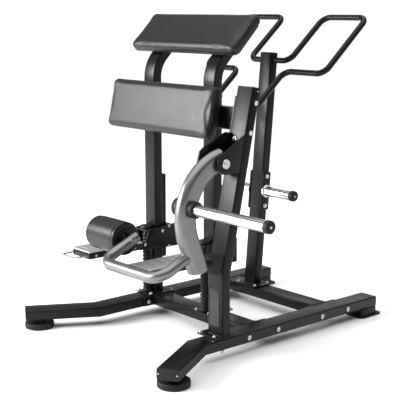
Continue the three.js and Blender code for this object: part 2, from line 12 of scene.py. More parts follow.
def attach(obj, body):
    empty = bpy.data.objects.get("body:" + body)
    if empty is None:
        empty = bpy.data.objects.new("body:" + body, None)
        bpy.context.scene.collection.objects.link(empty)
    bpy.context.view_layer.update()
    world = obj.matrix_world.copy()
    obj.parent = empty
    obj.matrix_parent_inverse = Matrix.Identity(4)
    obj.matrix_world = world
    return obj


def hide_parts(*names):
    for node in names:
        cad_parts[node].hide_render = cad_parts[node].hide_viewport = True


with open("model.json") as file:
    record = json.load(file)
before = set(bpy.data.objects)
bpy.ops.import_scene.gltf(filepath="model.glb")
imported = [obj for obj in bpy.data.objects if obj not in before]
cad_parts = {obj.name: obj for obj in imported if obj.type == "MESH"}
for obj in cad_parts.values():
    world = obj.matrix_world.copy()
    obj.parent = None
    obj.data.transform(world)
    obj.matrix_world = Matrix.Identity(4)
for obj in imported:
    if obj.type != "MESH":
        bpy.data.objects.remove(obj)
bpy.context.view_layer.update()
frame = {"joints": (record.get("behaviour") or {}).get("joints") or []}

random.seed(11)

# The pieces below are laid out in millimetres from one datum; the arm's pivot ties it to the frame.
PIVOT = Vector((522.0, -225.0, 881.0))
joint_at = {j["name"]: Vector(j["pos_m"]) for j in frame["joints"] if j.get("pos_m")}
DATUM = joint_at["arm_swing"] - PIVOT / 1000.0
SIDES = (("left", -1), ("right", 1))
RAILS = (("left", -1, -222.0), ("right", 1, 527.0))
RAIL_Z = 85               # middle height of the rails and cross tubes
RAIL_END = 343.0          # length of a rail's flared front end
FLARE = 30                # its angle, in degrees
POST_X, POST_Y = 222.8, 5.7
STRUT_Y = -44.5
TIE_Z = 1050
COLUMN_X, COLUMN_Y, COLUMN_LEAN = 520, -217, 12.1
REAR_Y, REAR_LEAN = 482, 4.9
PEG_Z = 605
HANDLE_RISE = 40.5


def rad(a):
    return math.radians(a)


# ---------------------------------------------------------------- materials
class Nodes:
    """A Principled material with a few procedural layers in object space."""

    def __init__(self, name, color, rough, metal=0.0, **sockets):
        self.m = bpy.data.materials.new(name)
        self.m.use_nodes = True
        self.t = self.m.node_tree
        self.b = self.t.nodes["Principled BSDF"]
        self.b.inputs["Base Color"].default_value = (*color, 1)
        self.b.inputs["Roughness"].default_value = rough
        self.b.inputs["Metallic"].default_value = metal
        for key, value in sockets.items():
            self.b.inputs[key.replace("_", " ")].default_value = value
        self.co = self.t.nodes.new("ShaderNodeTexCoord").outputs["Object"]
        self.normal = None

    def link(self, a, b):
        self.t.links.new(a, b)

    def noise(self, scale, detail=3.0, stretch=(1, 1, 1), rough=0.55):
        mp = self.t.nodes.new("ShaderNodeMapping")
        mp.inputs["Scale"].default_value = stretch
        self.link(self.co, mp.inputs["Vector"])
        n = self.t.nodes.new("ShaderNodeTexNoise")
        n.inputs["Scale"].default_value = scale
        n.inputs["Detail"].default_value = detail
        n.inputs["Roughness"].default_value = rough
        self.link(mp.outputs[0], n.inputs["Vector"])
        return n.outputs["Fac"]

    def cells(self, scale, feature="DISTANCE_TO_EDGE"):
        n = self.t.nodes.new("ShaderNodeTexVoronoi")
        n.feature = feature
        n.inputs["Scale"].default_value = scale
        self.link(self.co, n.inputs["Vector"])
        return n.outputs["Distance"]

    def ramp(self, fac, lo, hi, a=0.0, b=1.0):
        n = self.t.nodes.new("ShaderNodeMapRange")
        for i, v in enumerate((lo, hi, a, b)):
            n.inputs[i + 1].default_value = v
        self.link(fac, n.inputs[0])
        return n.outputs[0]

    def mix(self, fac, c0, c1):
        n = self.t.nodes.new("ShaderNodeMix")
        n.data_type = "RGBA"
        self.link(fac, n.inputs[0])
        for i, c in ((6, c0), (7, c1)):
            if isinstance(c, tuple):
                n.inputs[i].default_value = (*c, 1)
            else:
                self.link(c, n.inputs[i])
        return n.outputs[2]

    def color(self, out):
        self.link(out, self.b.inputs["Base Color"])

    def rough(self, out):
        self.link(out, self.b.inputs["Roughness"])

    def bump(self, height, strength, distance):
        n = self.t.nodes.new("ShaderNodeBump")
        n.inputs["Strength"].default_value = strength
        n.inputs["Distance"].default_value = distance
        self.link(height, n.inputs["Height"])
        if self.normal:
            self.link(self.normal, n.inputs["Normal"])
        self.normal = n.outputs[0]
        self.link(self.normal, self.b.inputs["Normal"])

    def edge(self, lo=0.56, hi=0.68):
        g = self.t.nodes.new("ShaderNodeNewGeometry")
        return self.ramp(g.outputs["Pointiness"], lo, hi)


def powder_coat():
    n = Nodes("powder_coat", (0.004, 0.004, 0.0046), 0.33, Specular_IOR_Level=0.2)
    base = n.mix(n.noise(9, 4), (0.003, 0.003, 0.0034), (0.0055, 0.0053, 0.0058))
    n.color(n.mix(n.ramp(n.edge(), 0, 1, 0, 0.5), base, (0.025, 0.024, 0.023)))
    n.rough(n.ramp(n.noise(14, 5), 0.3, 0.7, 0.26, 0.36))
    n.bump(n.noise(700, 2), 0.06, 0.0003)
    return n.m


def silver_paint():
    n = Nodes("silver_paint", (0.40, 0.39, 0.38), 0.3, 0.9, Coat_Weight=0.3, Coat_Roughness=0.12)
    flakes = n.mix(n.ramp(n.noise(2400, 1), 0.42, 0.6), (0.15, 0.147, 0.144), (0.24, 0.235, 0.23))
    n.color(n.mix(n.ramp(n.noise(7, 4), 0.35, 0.7, 0, 0.25), flakes, (0.21, 0.205, 0.20)))
    n.rough(n.ramp(n.noise(25, 4), 0.3, 0.7, 0.31, 0.40))
    n.bump(n.noise(900, 2), 0.09, 0.0003)
    return n.m


def chrome(name="chrome_plate", along=(1, 30, 30), color=(0.74, 0.72, 0.69)):
    n = Nodes(name, color, 0.12, 1.0)
    n.color(n.mix(n.ramp(n.noise(30, 4), 0.35, 0.7), color, tuple(c * 0.88 for c in color)))
    n.rough(n.ramp(n.noise(60, 5, along), 0.3, 0.75, 0.15, 0.27))
    n.bump(n.noise(7, 3, (1, 3, 3)), 0.03, 0.003)
    n.bump(n.noise(300, 3, along), 0.06, 0.0003)
    return n.m


def brushed_alloy():
    n = Nodes("brushed_alloy", (0.60, 0.59, 0.57), 0.36, 0.85)
    n.color(n.mix(n.noise(90, 5, (1, 25, 1)), (0.50, 0.49, 0.475), (0.68, 0.67, 0.65)))
    n.rough(n.ramp(n.noise(120, 4, (1, 20, 1)), 0.3, 0.7, 0.28, 0.46))
    n.bump(n.noise(400, 3, (20, 1, 1)), 0.14, 0.0003)
    return n.m


def zinc():
    n = Nodes("zinc_plate", (0.62, 0.60, 0.56), 0.26, 1.0)
    n.color(n.mix(n.noise(180, 4), (0.55, 0.53, 0.49), (0.70, 0.68, 0.63)))
    n.rough(n.ramp(n.noise(300, 3), 0.3, 0.7, 0.2, 0.36))
    n.bump(n.noise(1500, 2), 0.1, 0.0002)
    return n.m


def vinyl():
    n = Nodes("grained_vinyl", (0.008, 0.008, 0.0095), 0.40, 0.0, Specular_IOR_Level=0.36)
    grain = n.cells(620)
    n.color(n.mix(n.ramp(grain, 0.0, 0.35), (0.006, 0.006, 0.007), (0.0105, 0.0105, 0.0125)))
    n.rough(n.ramp(n.noise(20, 4), 0.3, 0.7, 0.36, 0.43))
    n.bump(n.noise(9, 2), 0.10, 0.0018)
    n.bump(n.ramp(grain, 0.0, 0.30), 0.20, 0.00035)
    n.bump(n.noise(1900, 2), 0.10, 0.0002)
    return n.m


def dull(name, color, rough, scale=500, strength=0.2, spread=0.35):
    n = Nodes(name, color, rough, Specular_IOR_Level=0.3)
    low, high = (tuple(c * k for c in color) for k in (1 - spread, 1 + spread))
    n.color(n.mix(n.noise(22, 4), low, high))
    n.rough(n.ramp(n.noise(40, 4), 0.3, 0.7, rough - 0.07, rough + 0.07))
    n.bump(n.noise(scale, 3), strength, 0.0005)
    return n.m


M = {
    "frame": powder_coat(), "arm_paint": silver_paint(), "chrome": chrome(), "alloy": brushed_alloy(),
    "steel": zinc(), "vinyl": vinyl(),
    "foam": dull("skinned_foam", (0.012, 0.012, 0.014), 0.36, 420, 0.14),
    "rubber": dull("moulded_rubber", (0.006, 0.006, 0.0065), 0.58, 700, 0.3),
    "plastic": dull("moulded_plastic", (0.006, 0.006, 0.0065), 0.34, 1100, 0.12),
    "board": dull("stained_board", (0.016, 0.014, 0.012), 0.72, 180, 0.4),
}
M_LEVER = chrome("dark_chrome", (30, 1, 1), (0.34, 0.335, 0.33))
THREAD = dull("thread", (0.03, 0.03, 0.034), 0.6, 3000, 0.4)
LABEL = dull("label_face", (0.035, 0.033, 0.033), 0.25, 1500, 0.05)
STRIPE = dull("label_stripe", (0.14, 0.022, 0.02), 0.3, 1500, 0.05)


# ---------------------------------------------------------------- shapes
def rrect(w, h, r, n=5):
    out = []
    for sx, sy, a0 in ((1, 1, 0), (-1, 1, 90), (-1, -1, 180), (1, -1, 270)):
        for i in range(n + 1):
            a = rad(a0 + 90 * i / n)
            out.append((sx * (w / 2 - r) + r * math.cos(a), sy * (h / 2 - r) + r * math.sin(a)))
    return out


def circle(r, n=32, cx=0.0, cy=0.0):
    return [(cx + r * math.cos(2 * math.pi * i / n), cy + r * math.sin(2 * math.pi * i / n)) for i in range(n)]


def slot_hole(cx, cy, w, h, n=6):
    """A long hole with round ends, w along the first axis."""
    r = h / 2
    return [(cx + s * (w / 2 - r) + r * math.cos(a), cy + r * math.sin(a))
            for s, a0 in ((1, -90), (-1, 90)) for a in (rad(a0 + 180 * i / n) for i in range(n + 1))]


def rounded(points, radius, steps=5):
    """A 2D outline with each corner turned into an arc; radius may be one number per corner."""
    out, n = [], len(points)
    for i, p in enumerate(points):
        r = radius[i] if isinstance(radius, (list, tuple)) else radius
        p, a, b = Vector(p), Vector(points[i - 1]), Vector(points[(i + 1) % n])
        if r <= 0:
            out.append(tuple(p))
            continue
        u, v = (a - p).normalized(), (b - p).normalized()
        half = u.angle(v) / 2
        t = min(r / math.tan(half), (a - p).length * 0.48, (b - p).length * 0.48)
        r = t * math.tan(half)
        c = p + (u + v).normalized() * r / math.sin(half)
        s, e = p + u * t - c, p + v * t - c
        for k in range(steps + 1):
            out.append(tuple(c + s.slerp(e, k / steps) if s.angle(e) < 3.1 else p))
    return out


def fillet(points, radius, steps=10):
    """A 3D route with round bends."""
    p = [Vector(q) for q in points]
    out = [p[0]]
    for i in range(1, len(p) - 1):
        a, b = (p[i - 1] - p[i]).normalized(), (p[i + 1] - p[i]).normalized()
        half = a.angle(b) / 2
        c = p[i] + (a + b).normalized() * radius / math.sin(half)
        s, n = p[i] + a * radius / math.tan(half) - c, a.cross(b).normalized()
        out += [c + Quaternion(n, -(math.pi - 2 * half) * k / steps) @ s for k in range(steps + 1)]
    return out + [p[-1]]


def facing(axis):
    """Rotation that turns +Z to the axis."""
    return Vector((0, 0, 1)).rotation_difference(Vector(axis).normalized())


class Shape:
    def __init__(self):
        self.v, self.f, self.m = [], [], []

    def add(self, verts, faces, mat=0, move=None):
        n = len(self.v)
        self.v += [move @ Vector(v) if move else Vector(v) for v in verts]
        self.f += [[n + i for i in f] for f in faces]
        self.m += [mat] * len(faces)
        return self

    def rings(self, rings, closed=False, caps=True, mat=0):
        n = len(rings[0])
        faces, count = [], len(rings)
        for i in range(count if closed else count - 1):
            a, b = i * n, ((i + 1) % count) * n
            faces += [[a + k, a + (k + 1) % n, b + (k + 1) % n, b + k] for k in range(n)]
        if caps and not closed:
            faces += [list(range(n))[::-1], [(count - 1) * n + k for k in range(n)]]
        return self.add([p for r in rings for p in r], faces, mat)

    def sweep(self, path, section, up=(0, 0, 1), closed=False, mat=0, scale=None):
        p = [Vector(q) for q in path]
        if closed:
            p = p + [p[0]]
        d = [(b - a).normalized() for a, b in zip(p, p[1:])]
        u = d[0].cross(Vector(up)).normalized()
        w = u.cross(d[0]).normalized()
        rings, count = [], len(p) - (1 if closed else 0)
        for i in range(count):
            if i:
                q = d[i - 1].rotation_difference(d[min(i, len(d) - 1)])
            before = d[i - 1] if (i or closed) else d[0]
            after = d[i] if i < len(d) else d[-1]
            n = (before + after).normalized()
            step = before if i else after
            k = scale(i) if scale else 1.0
            ring = []
            for a, b in section:
                off = (u * a + w * b) * k
                ring.append(p[i] + off - step * (off.dot(n) / step.dot(n)))
            rings.append(ring)
            if i:
                u, w = q @ u, q @ w
        return self.rings(rings, closed, True, mat)

    def lathe(self, at, axis, profile, segs=48, mat=0):
        """Profile is (distance along axis, radius) pairs; a radius of 0 is a closed end."""
        q = facing(axis)
        at = Vector(at)
        verts, idx = [], []
        for z, r in profile:
            if r < 1e-6:
                idx.append([len(verts)])
                verts.append(at + q @ Vector((0, 0, z)))
            else:
                idx.append(list(range(len(verts), len(verts) + segs)))
                verts += [at + q @ Vector((x, y, z)) for x, y in circle(r, segs)]
        faces, ends = [], list(zip(idx, idx[1:] if profile[0][1] < 1e-6 else idx[1:] + idx[:1]))
        for a, b in ends:
            for k in range(segs):
                m = (k + 1) % segs
                if len(a) == 1 and len(b) == 1:
                    continue
                if len(a) == 1:
                    faces.append([a[0], b[k], b[m]])
                elif len(b) == 1:
                    faces.append([a[k], a[m], b[0]])
                else:
                    faces.append([a[k], a[m], b[m], b[k]])
        return self.add(verts, faces, mat)

    def plate(self, outer, z0, z1, holes=(), move=None, mat=0):
        loops = [list(outer)] + [list(h) for h in holes]
        flat = [p for lp in loops for p in lp]
        n = len(flat)
        tris = tessellate_polygon([[Vector((x, y, 0)) for x, y in lp] for lp in loops])
        verts = [(x, y, z0) for x, y in flat] + [(x, y, z1) for x, y in flat]
        if holes:
            faces = [list(t) for t in tris] + [[i + n for i in t][::-1] for t in tris]
        else:
            faces = [list(range(n)), [i + n for i in range(n)][::-1]]
        start = 0
        for lp in loops:
            m = len(lp)
            faces += [[start + k, start + (k + 1) % m, n + start + (k + 1) % m, n + start + k]
                      for k in range(m)]
            start += m
        return self.add(verts, faces, mat, move)

    def make(self, name, body, slot, replaces=(), bevel=0.0, material=None, sharp=34, segments=2):
        bm = bmesh.new()
        vs = [bm.verts.new(v) for v in self.v]
        for f, mi in zip(self.f, self.m):
            if len(set(f)) < 3:
                continue
            try:
                bm.faces.new([vs[i] for i in f]).material_index = mi
            except ValueError:
                pass
        bmesh.ops.remove_doubles(bm, verts=bm.verts, dist=0.01)
        bmesh.ops.recalc_face_normals(bm, faces=bm.faces)
        if bevel:
            edges = [e for e in bm.edges if len(e.link_faces) == 2 and e.calc_face_angle(0) > rad(38)]
            bmesh.ops.bevel(bm, geom=edges, offset=bevel, segments=segments, profile=0.5, affect="EDGES",
                            clamp_overlap=True)
        bmesh.ops.transform(bm, matrix=Matrix.Translation(DATUM) @ Matrix.Scale(0.001, 4), verts=bm.verts)
        me = bpy.data.meshes.new(name)
        bm.to_mesh(me)
        bm.free()
        return finish_piece(me, name, body, slot, replaces, material, sharp)


def finish_piece(me, name, body, slot, replaces=(), material=None, sharp=34):
    mats = material or [M[slot]]
    for m in mats:
        me.materials.append(m)
    me.polygons.foreach_set("use_smooth", [True] * len(me.polygons))
    me.set_sharp_from_angle(angle=rad(sharp))
    ob = bpy.data.objects.new(name, me)
    bpy.context.collection.objects.link(ob)
    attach(ob, body)
    if replaces:
        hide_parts(*replaces)
    return ob


def boolean(ob, other, operation="DIFFERENCE"):
    """Applies one exact boolean and removes the cutter."""
    md = ob.modifiers.new("cut", "BOOLEAN")
    md.object, md.operation, md.solver = other, operation, "EXACT"
    dg = bpy.context.evaluated_depsgraph_get()
    me = bpy.data.meshes.new_from_object(ob.evaluated_get(dg))
    ob.modifiers.clear()
    ob.data = me
    bpy.data.objects.remove(other, do_unlink=True)
    return ob


def loose(shape):
    """A bare object from a shape, for cutting."""
    me = bpy.data.meshes.new("cutter")
    bm = bmesh.new()
    vs = [bm.verts.new(DATUM + Vector(v) / 1000) for v in shape.v]
    for f in shape.f:
        bm.faces.new([vs[i] for i in f])
    bmesh.ops.recalc_face_normals(bm, faces=bm.faces)
    bm.to_mesh(me)
    bm.free()
    ob = bpy.data.objects.new("cutter", me)
    bpy.context.collection.objects.link(ob)
    return ob


def block(x0, x1, y0, y1, z0, z1):
    return [(x0, y0), (x1, y0), (x1, y1), (x0, y1)], z0, z1


def bolt(s, at, axis, r=9.5, h=7.0, hexed=True):
    """A flanged bolt: washer, low dome or hex head, and a socket."""
    at, q = Vector(at), facing(axis)
    s.lathe(at, axis, [(0, 0), (0, r * 1.25), (1.4, r * 1.25), (2.0, r * 1.12), (2.0, 0)], 28)
    if hexed:
        s.lathe(at, axis, [(1.8, 0), (1.8, r), (h - 1.2, r), (h, r * 0.86), (h, r * 0.4), (h - 1.0, r * 0.36),
                           (h - 1.0, 0)], 6)
    else:
        s.lathe(at, axis, [(1.8, 0), (1.8, r), (h * 0.45, r * 0.95), (h * 0.8, r * 0.72), (h, r * 0.5),
                           (h - 2.4, r * 0.44), (h - 2.4, 0)], 24)


def weld(s, path, r=2.6, closed=True):
    """A lumpy bead along a route."""
    pts, p = [], [Vector(q) for q in path]
    ring = p + [p[0]] if closed else p
    for a, b in zip(ring, ring[1:]):
        n = max(1, int((b - a).length / 3.0))
        pts += [a.lerp(b, k / n) for k in range(n)]
    if not closed:
        pts.append(p[-1])
    s.sweep(pts, circle(r, 8), up=(0.31, 0.22, 0.93), closed=closed,
            scale=lambda i: 0.86 + 0.20 * abs(math.sin(i * 1.15)) + random.uniform(-0.04, 0.04))


def on_plane(outline, at, u, v):
    at, u, v = Vector(at), Vector(u), Vector(v)
    return [at + u * a + v * b for a, b in outline]


# outlines drawn in Y-Z or in X-Z, with the thickness along the third axis
YZ = Matrix(((0, 0, 1, 0), (1, 0, 0, 0), (0, 1, 0, 0), (0, 0, 0, 1)))
XZ = Matrix(((1, 0, 0, 0), (0, 0, 1, 0), (0, 1, 0, 0), (0, 0, 0, 1)))

# ---------------------------------------------------------------- base frame
for side, s, x in RAILS:
    out = Vector((s * math.sin(rad(FLARE)), -math.cos(rad(FLARE)), 0))
    tip = Vector((x, -352, RAIL_Z)) + out * RAIL_END
    Shape().sweep([(x, 784, RAIL_Z), (x, -352, RAIL_Z), tip], rrect(100, 50, 7)).make(
        f"rail_tube_{side}", "frame", "frame", [f"rail_{side}"], bevel=0.8)
    screws = Shape()
    for end, at, axis in (("rear", Vector((x, 784.3, RAIL_Z)), Vector((0, 1, 0))),
                          ("front", tip + out * 0.3, out)):
        turn = Matrix((Vector((0, 0, 1)).cross(axis), Vector((0, 0, 1)), axis)).transposed().to_4x4()
        cap = Shape().plate(rrect(100, 50, 8), 0, 4.7, move=Matrix.Translation(at) @ turn)
        cap.make(f"end_cap_{side}_{end}", "frame", "plastic", [f"rail_cap_{side}_{end}"], bevel=2.6,
                 segments=4)
        for k in (-1, 1):
            screws.lathe(at + turn.to_3x3() @ Vector((k * 41, 0, 4.2)), axis,
                         [(0, 0), (0, 3.6), (1.0, 3.2), (1.5, 1.6), (1.1, 0)], 16)
    screws.make(f"end_cap_screws_{side}", "frame", "steel")
    face = Shape()
    for y in (-84, 99, 394, 577):
        bolt(face, (x + s * 50, y, 84), (s, 0, 0), 9.5, 7.5, hexed=False)
    face.make(f"rail_bolts_{side}", "frame", "steel")
    foot = tip - out * 63
    disc = [(14, 0), (14, 66), (17.5, 69.6), (26, 70), (27, 68.4), (29, 68.4), (30, 70), (38, 70), (41, 68.5),
            (42, 65), (42, 34), (46, 30), (59.7, 30), (59.7, 0)]
    Shape().lathe((foot.x, foot.y, 0), (0, 0, 1), disc, 64).make(
        f"levelling_foot_{side}", "frame", "rubber", [f"foot_front_{side}"])
    f = Shape()
    holes = [circle(6.5, 20, x + k * 34, 805) for k in (-1, 1)]
    f.plate([(a + x, b + 750) for a, b in rrect(116, 152, 22, 8)], 14, 23, holes)
    for x0, x1, y0, y1 in ((-50, 50, 680, 684.5), (-50, 50, 781.5, 786), (-50, -45.5, 683, 783),
                           (45.5, 50, 683, 783)):
        f.plate(*block(x + x0, x + x1, y0, y1, 22.5, 59.7))
    weld(f, [(a + x, b + 733, 23.5) for a, b in rrect(101, 107, 3)], 2.2)
    f.make(f"rear_foot_{side}", "frame", "frame", [f"foot_rear_{side}"], bevel=0.9)

for name, y in (("front", 4.0), ("rear", 481.5)):
    c = Shape().sweep([(-170, y, RAIL_Z), (475, y, RAIL_Z)], rrect(100, 50, 7), up=(0, 0, 1))
    for x in (-171.7, 468.7):
        c.plate([(a + y, b + 85.5) for a, b in rrect(224, 47, 5)], x, x + 8, move=YZ)
    for x in (-162.5, 467.5):
        weld(c, on_plane(rrect(101, 48, 7), (x, y, 85.3), (0, 1, 0), (0, 0, 1)), 2.0)
    c.make(f"cross_tube_{name}", "frame", "frame", [f"cross_{name}"], bevel=0.9)
    n = Shape()
    for x, d in ((-163.4, 1), (468.4, -1)):
        for k in (-1, 1):
            bolt(n, (x, y + k * 82, 84), (d, 0, 0), 9, 8)
    n.make(f"cross_nuts_{name}", "frame", "steel")


# ---------------------------------------------------------------- uprights and struts
def upright_path():
    y, pts = POST_Y, [(0, POST_Y, 114), (0, POST_Y, 1195)]
    for i in range(1, 25):
        a = rad(45 * i / 24)
        pts.append((0, y + 150 * (1 - math.cos(a)), 1195 + 150 * math.sin(a)))
    return pts + [(0, pts[-1][1] + 189 * math.sin(rad(45)), pts[-1][2] + 189 * math.cos(rad(45)))]


for side, s in SIDES:
    x = s * POST_X
    u = Shape().sweep([(x, y, z) for _, y, z in upright_path()], rrect(80, 50, 7), up=(0, 1, 0))
    u.plate([(a + x, b + 9.5) for a, b in rrect(116, 155, 5)], 110.3, 116.3)
    weld(u, [(a + x, b + POST_Y, 117) for a, b in rrect(81, 51, 7)])
    u.make(f"post_{side}", "frame", "frame", [f"upright_{side}"], bevel=0.8)
    nuts = Shape()
    for dx in (-46, 46):
        for y in (-55, 74):
            bolt(nuts, (x + dx, y, 116.3), (0, 0, 1), 8, 8)
    bolt(nuts, (x, 62, 700), (0, 1, 0), 4.5, 3, False)
    nuts.make(f"post_bolts_{side}", "frame", "steel")
    y0 = 31.0
    ib = Shape().plate([(a + x, b + 501.5) for a, b in rrect(40, 423, 3)], y0 + 31, y0 + 35,
                       [circle(7, 20, x, z) for z in range(320, 700, 50)], move=XZ)
    for a in (x - 20, x + 16):
        ib.plate(*block(a, a + 4, y0, y0 + 33, 290, 713))
    ib.make(f"index_channel_{side}", "frame", "frame", [f"index_bar_{side}"], bevel=0.8)
    prof = [(116.6, 8.6), (116.6, 19), (119, 21.5), (134, 21.5), (137, 17)]
    z = 145
    while z < 428:
        prof += [(z - 7, 16.3), (z - 4, 19.5), (z, 21.8), (z + 4, 19.5), (z + 7, 16.3)]
        z += 18
    prof += [(438, 16), (438, 8.6)]
    Shape().lathe((x, STRUT_Y, 0), (0, 0, 1), prof, 40).make(
        f"bellows_{side}", "frame", "rubber", [f"strut_boot_{side}"], sharp=60)

# ---------------------------------------------------------------- cross ties
t = Shape().sweep([(-182.4, POST_Y, TIE_Z), (182.4, POST_Y, TIE_Z)], rrect(50, 100, 7), up=(0, 0, 1))
for k in (-1, 1):
    weld(t, on_plane(rrect(50, 100, 7), (k * 182.3, POST_Y, TIE_Z), (0, 1, 0), (0, 0, 1)), 2.2)
t.make("tie_tube_middle", "frame", "frame", ["tie_middle"], bevel=0.6)


def column_front(z):
    """Y of the column's front face at a height."""
    lean = rad(COLUMN_LEAN)
    return -241 + max(0, (z - 393) * math.tan(lean) - 24 * (1 / math.cos(lean) - 1))


t = Shape().sweep([(263.2, -36, TIE_Z), (466, -36, TIE_Z)], rrect(50, 100, 7), up=(0, 0, 1))
t.plate(rounded([(column_front(983) - 3, 983), (-6, 983), (-6, 1120), (column_front(1160) + 48, 1160),
                 (column_front(1160) - 3, 1160)], 7), 462.2, 470.2, move=YZ)
weld(t, on_plane(rrect(50, 100, 7), (461.8, -36, TIE_Z), (0, 1, 0), (0, 0, 1)), 2.2)
weld(t, on_plane(rrect(50, 100, 7), (263.4, -36, TIE_Z), (0, 1, 0), (0, 0, 1)), 2.0)
t.make("tie_tube_right", "frame", "frame", ["tie_right"], bevel=0.8)

# ---------------------------------------------------------------- main column and pivot
lean = math.tan(rad(COLUMN_LEAN))
up = Vector((0, math.sin(rad(COLUMN_LEAN)), math.cos(rad(COLUMN_LEAN))))
top = Vector((COLUMN_X, COLUMN_Y + 797 * lean, 1190))
c = Shape().sweep([(COLUMN_X, COLUMN_Y, 114), (COLUMN_X, COLUMN_Y, 393), top], rrect(99, 48, 8), up=(0, 1, 0))
c.plate([(a + 506, b - 220) for a, b in rrect(138, 110, 6)], 110.3, 118.3)
weld(c, [(a + COLUMN_X, b + COLUMN_Y, 119) for a, b in rrect(100, 49, 8)])
c.make("column_tube", "frame", "frame", ["main_column"], bevel=0.8)
Shape().sweep([top + up * 0.3, top + up * 5.4], rrect(99.5, 48.5, 8), up=(0, 1, 0)).make(
    "column_plug", "frame", "plastic", ["column_cap"], bevel=2.0, segments=4)


def lobe(a0, a1, r, n=16):
    """An arc about the arm's pivot, in Y-Z."""
    return [(-225 + r * math.cos(rad(a0 + (a1 - a0) * i / n)), 881 + r * math.sin(rad(a0 + (a1 - a0) * i / n)))
            for i in range(n + 1)]


def edge(z):
    """A point just clear of the column's front face."""
    return (column_front(z) - 0.3, z)


hole = circle(13, 32, -225, 881)
p = Shape().plate([edge(998)] + lobe(115, 250, 46) + [(-225, 835), edge(835)], 561.5, 569.5, [hole],
                  move=YZ)
weld(p, [(565, column_front(z) - 1.0, z) for z in range(837, 997, 4)], 2.2, closed=False)
p.make("pivot_cheek_outer", "frame", "frame", ["pivot_plate_outer"], bevel=1.2, segments=3)
p = Shape().plate([edge(999), (-142, 1003), (-262, 952), (-292, 930), (-304, 885)] + lobe(200, 260, 52)
                  + [(-215, 829), edge(830)], 470.5, 478.5, [hole], move=YZ)
weld(p, [(475, column_front(z) - 1.0, z) for z in range(832, 997, 4)], 2.2, closed=False)
p.make("pivot_cheek_inner", "frame", "frame", ["pivot_plate_inner"], bevel=1.2, segments=3)
pin = [(-60, 0), (-60, 18), (-58, 21), (-49.8, 21), (-49.8, 12.5), (49.8, 12.5), (49.8, 21), (54, 21),
       (56, 19.5), (56, 16.5), (54.6, 15.5), (54.6, 11), (58, 11), (59, 10), (59, 5.5), (55.5, 4.5), (55.5, 0)]
Shape().lathe((COLUMN_X, -225, 881), (1, 0, 0), pin, 40).make("pivot_bolt", "frame", "steel", ["pivot_pin"])
back = [(-299.7, 402), edge(402), edge(484), (-285.7, 484), (-299.7, 470)]
Shape().plate(rounded(back, [9, 2, 2, 9, 9]), 482, 562, move=YZ).make(
    "stop_block", "frame", "rubber", ["stop_pad"], bevel=3.0, segments=4)
b = Shape()
normal = Vector((0, -math.cos(rad(COLUMN_LEAN)), math.sin(rad(COLUMN_LEAN))))
for y, z in ((-50, 1129), (-80, 1002)):
    bolt(b, (569.5, y, z), (1, 0, 0), 9, 7, False)
b.lathe((569.5, -41, 1178), (1, 0, 0), [(0, 0), (0, 3.6), (1.2, 3.0), (1.6, 0)], 16)
bolt(b, (505, column_front(976.5), 976.5), normal, 9, 9, False)
for x in (451, 544):
    bolt(b, (x, -265, 118.3), (0, 0, 1), 7.5, 7)
bolt(b, (567, -240, 60), (0, 0, -1), 8, 14)
for y, z in ((-22, 1137), (-34, 1001)):
    bolt(b, (461.9, y - 30, z), (-1, 0, 0), 8.5, 9)
b.make("column_bolts", "frame", "steel")
lab = Shape().plate([(a + 518, b_ + 241.5) for a, b_ in rrect(60, 165, 4)], -242.6, -241.0, move=XZ)
lab.make("label_plate", "frame", "plastic", bevel=0.5, material=[LABEL])
lab = Shape()
for x in (494.5, 541.5):
    lab.plate([(a + x, b_ + 241.5) for a, b_ in rrect(2.2, 150, 1)], -243.0, -242.4, move=XZ)
lab.make("label_stripes", "frame", "plastic", material=[STRIPE])

# ---------------------------------------------------------------- rear post, pegs, handles
rl = math.tan(rad(REAR_LEAN))
up = Vector((0, math.sin(rad(REAR_LEAN)), math.cos(rad(REAR_LEAN))))
top = Vector((0, REAR_Y + 1192.7 * rl, 1303))
rear = Shape().sweep([(0, REAR_Y, 114), top], rrect(80, 50, 7), up=(0, 1, 0))
rear.plate([(a, b + REAR_Y) for a, b in rrect(156, 124, 6)], 110.3, 118.3)
weld(rear, [(a, b + REAR_Y, 119) for a, b in rrect(81, 51, 7)])
rear.make("rear_tube", "frame", "frame", ["rear_post"], bevel=0.8)
Shape().sweep([top + up * 0.3, top + up * 5.8], rrect(80.5, 50.5, 8), up=(0, 1, 0)).make(
    "rear_plug", "frame", "plastic", ["post_cap"], bevel=2.0, segments=4)
b = Shape()
for dx in (-62, 62):
    for dy in (-44, 44):
        bolt(b, (dx, REAR_Y + dy, 118.3), (0, 0, 1), 8, 8)
b.make("rear_base_bolts", "frame", "steel")
py = REAR_Y + 495 * rl
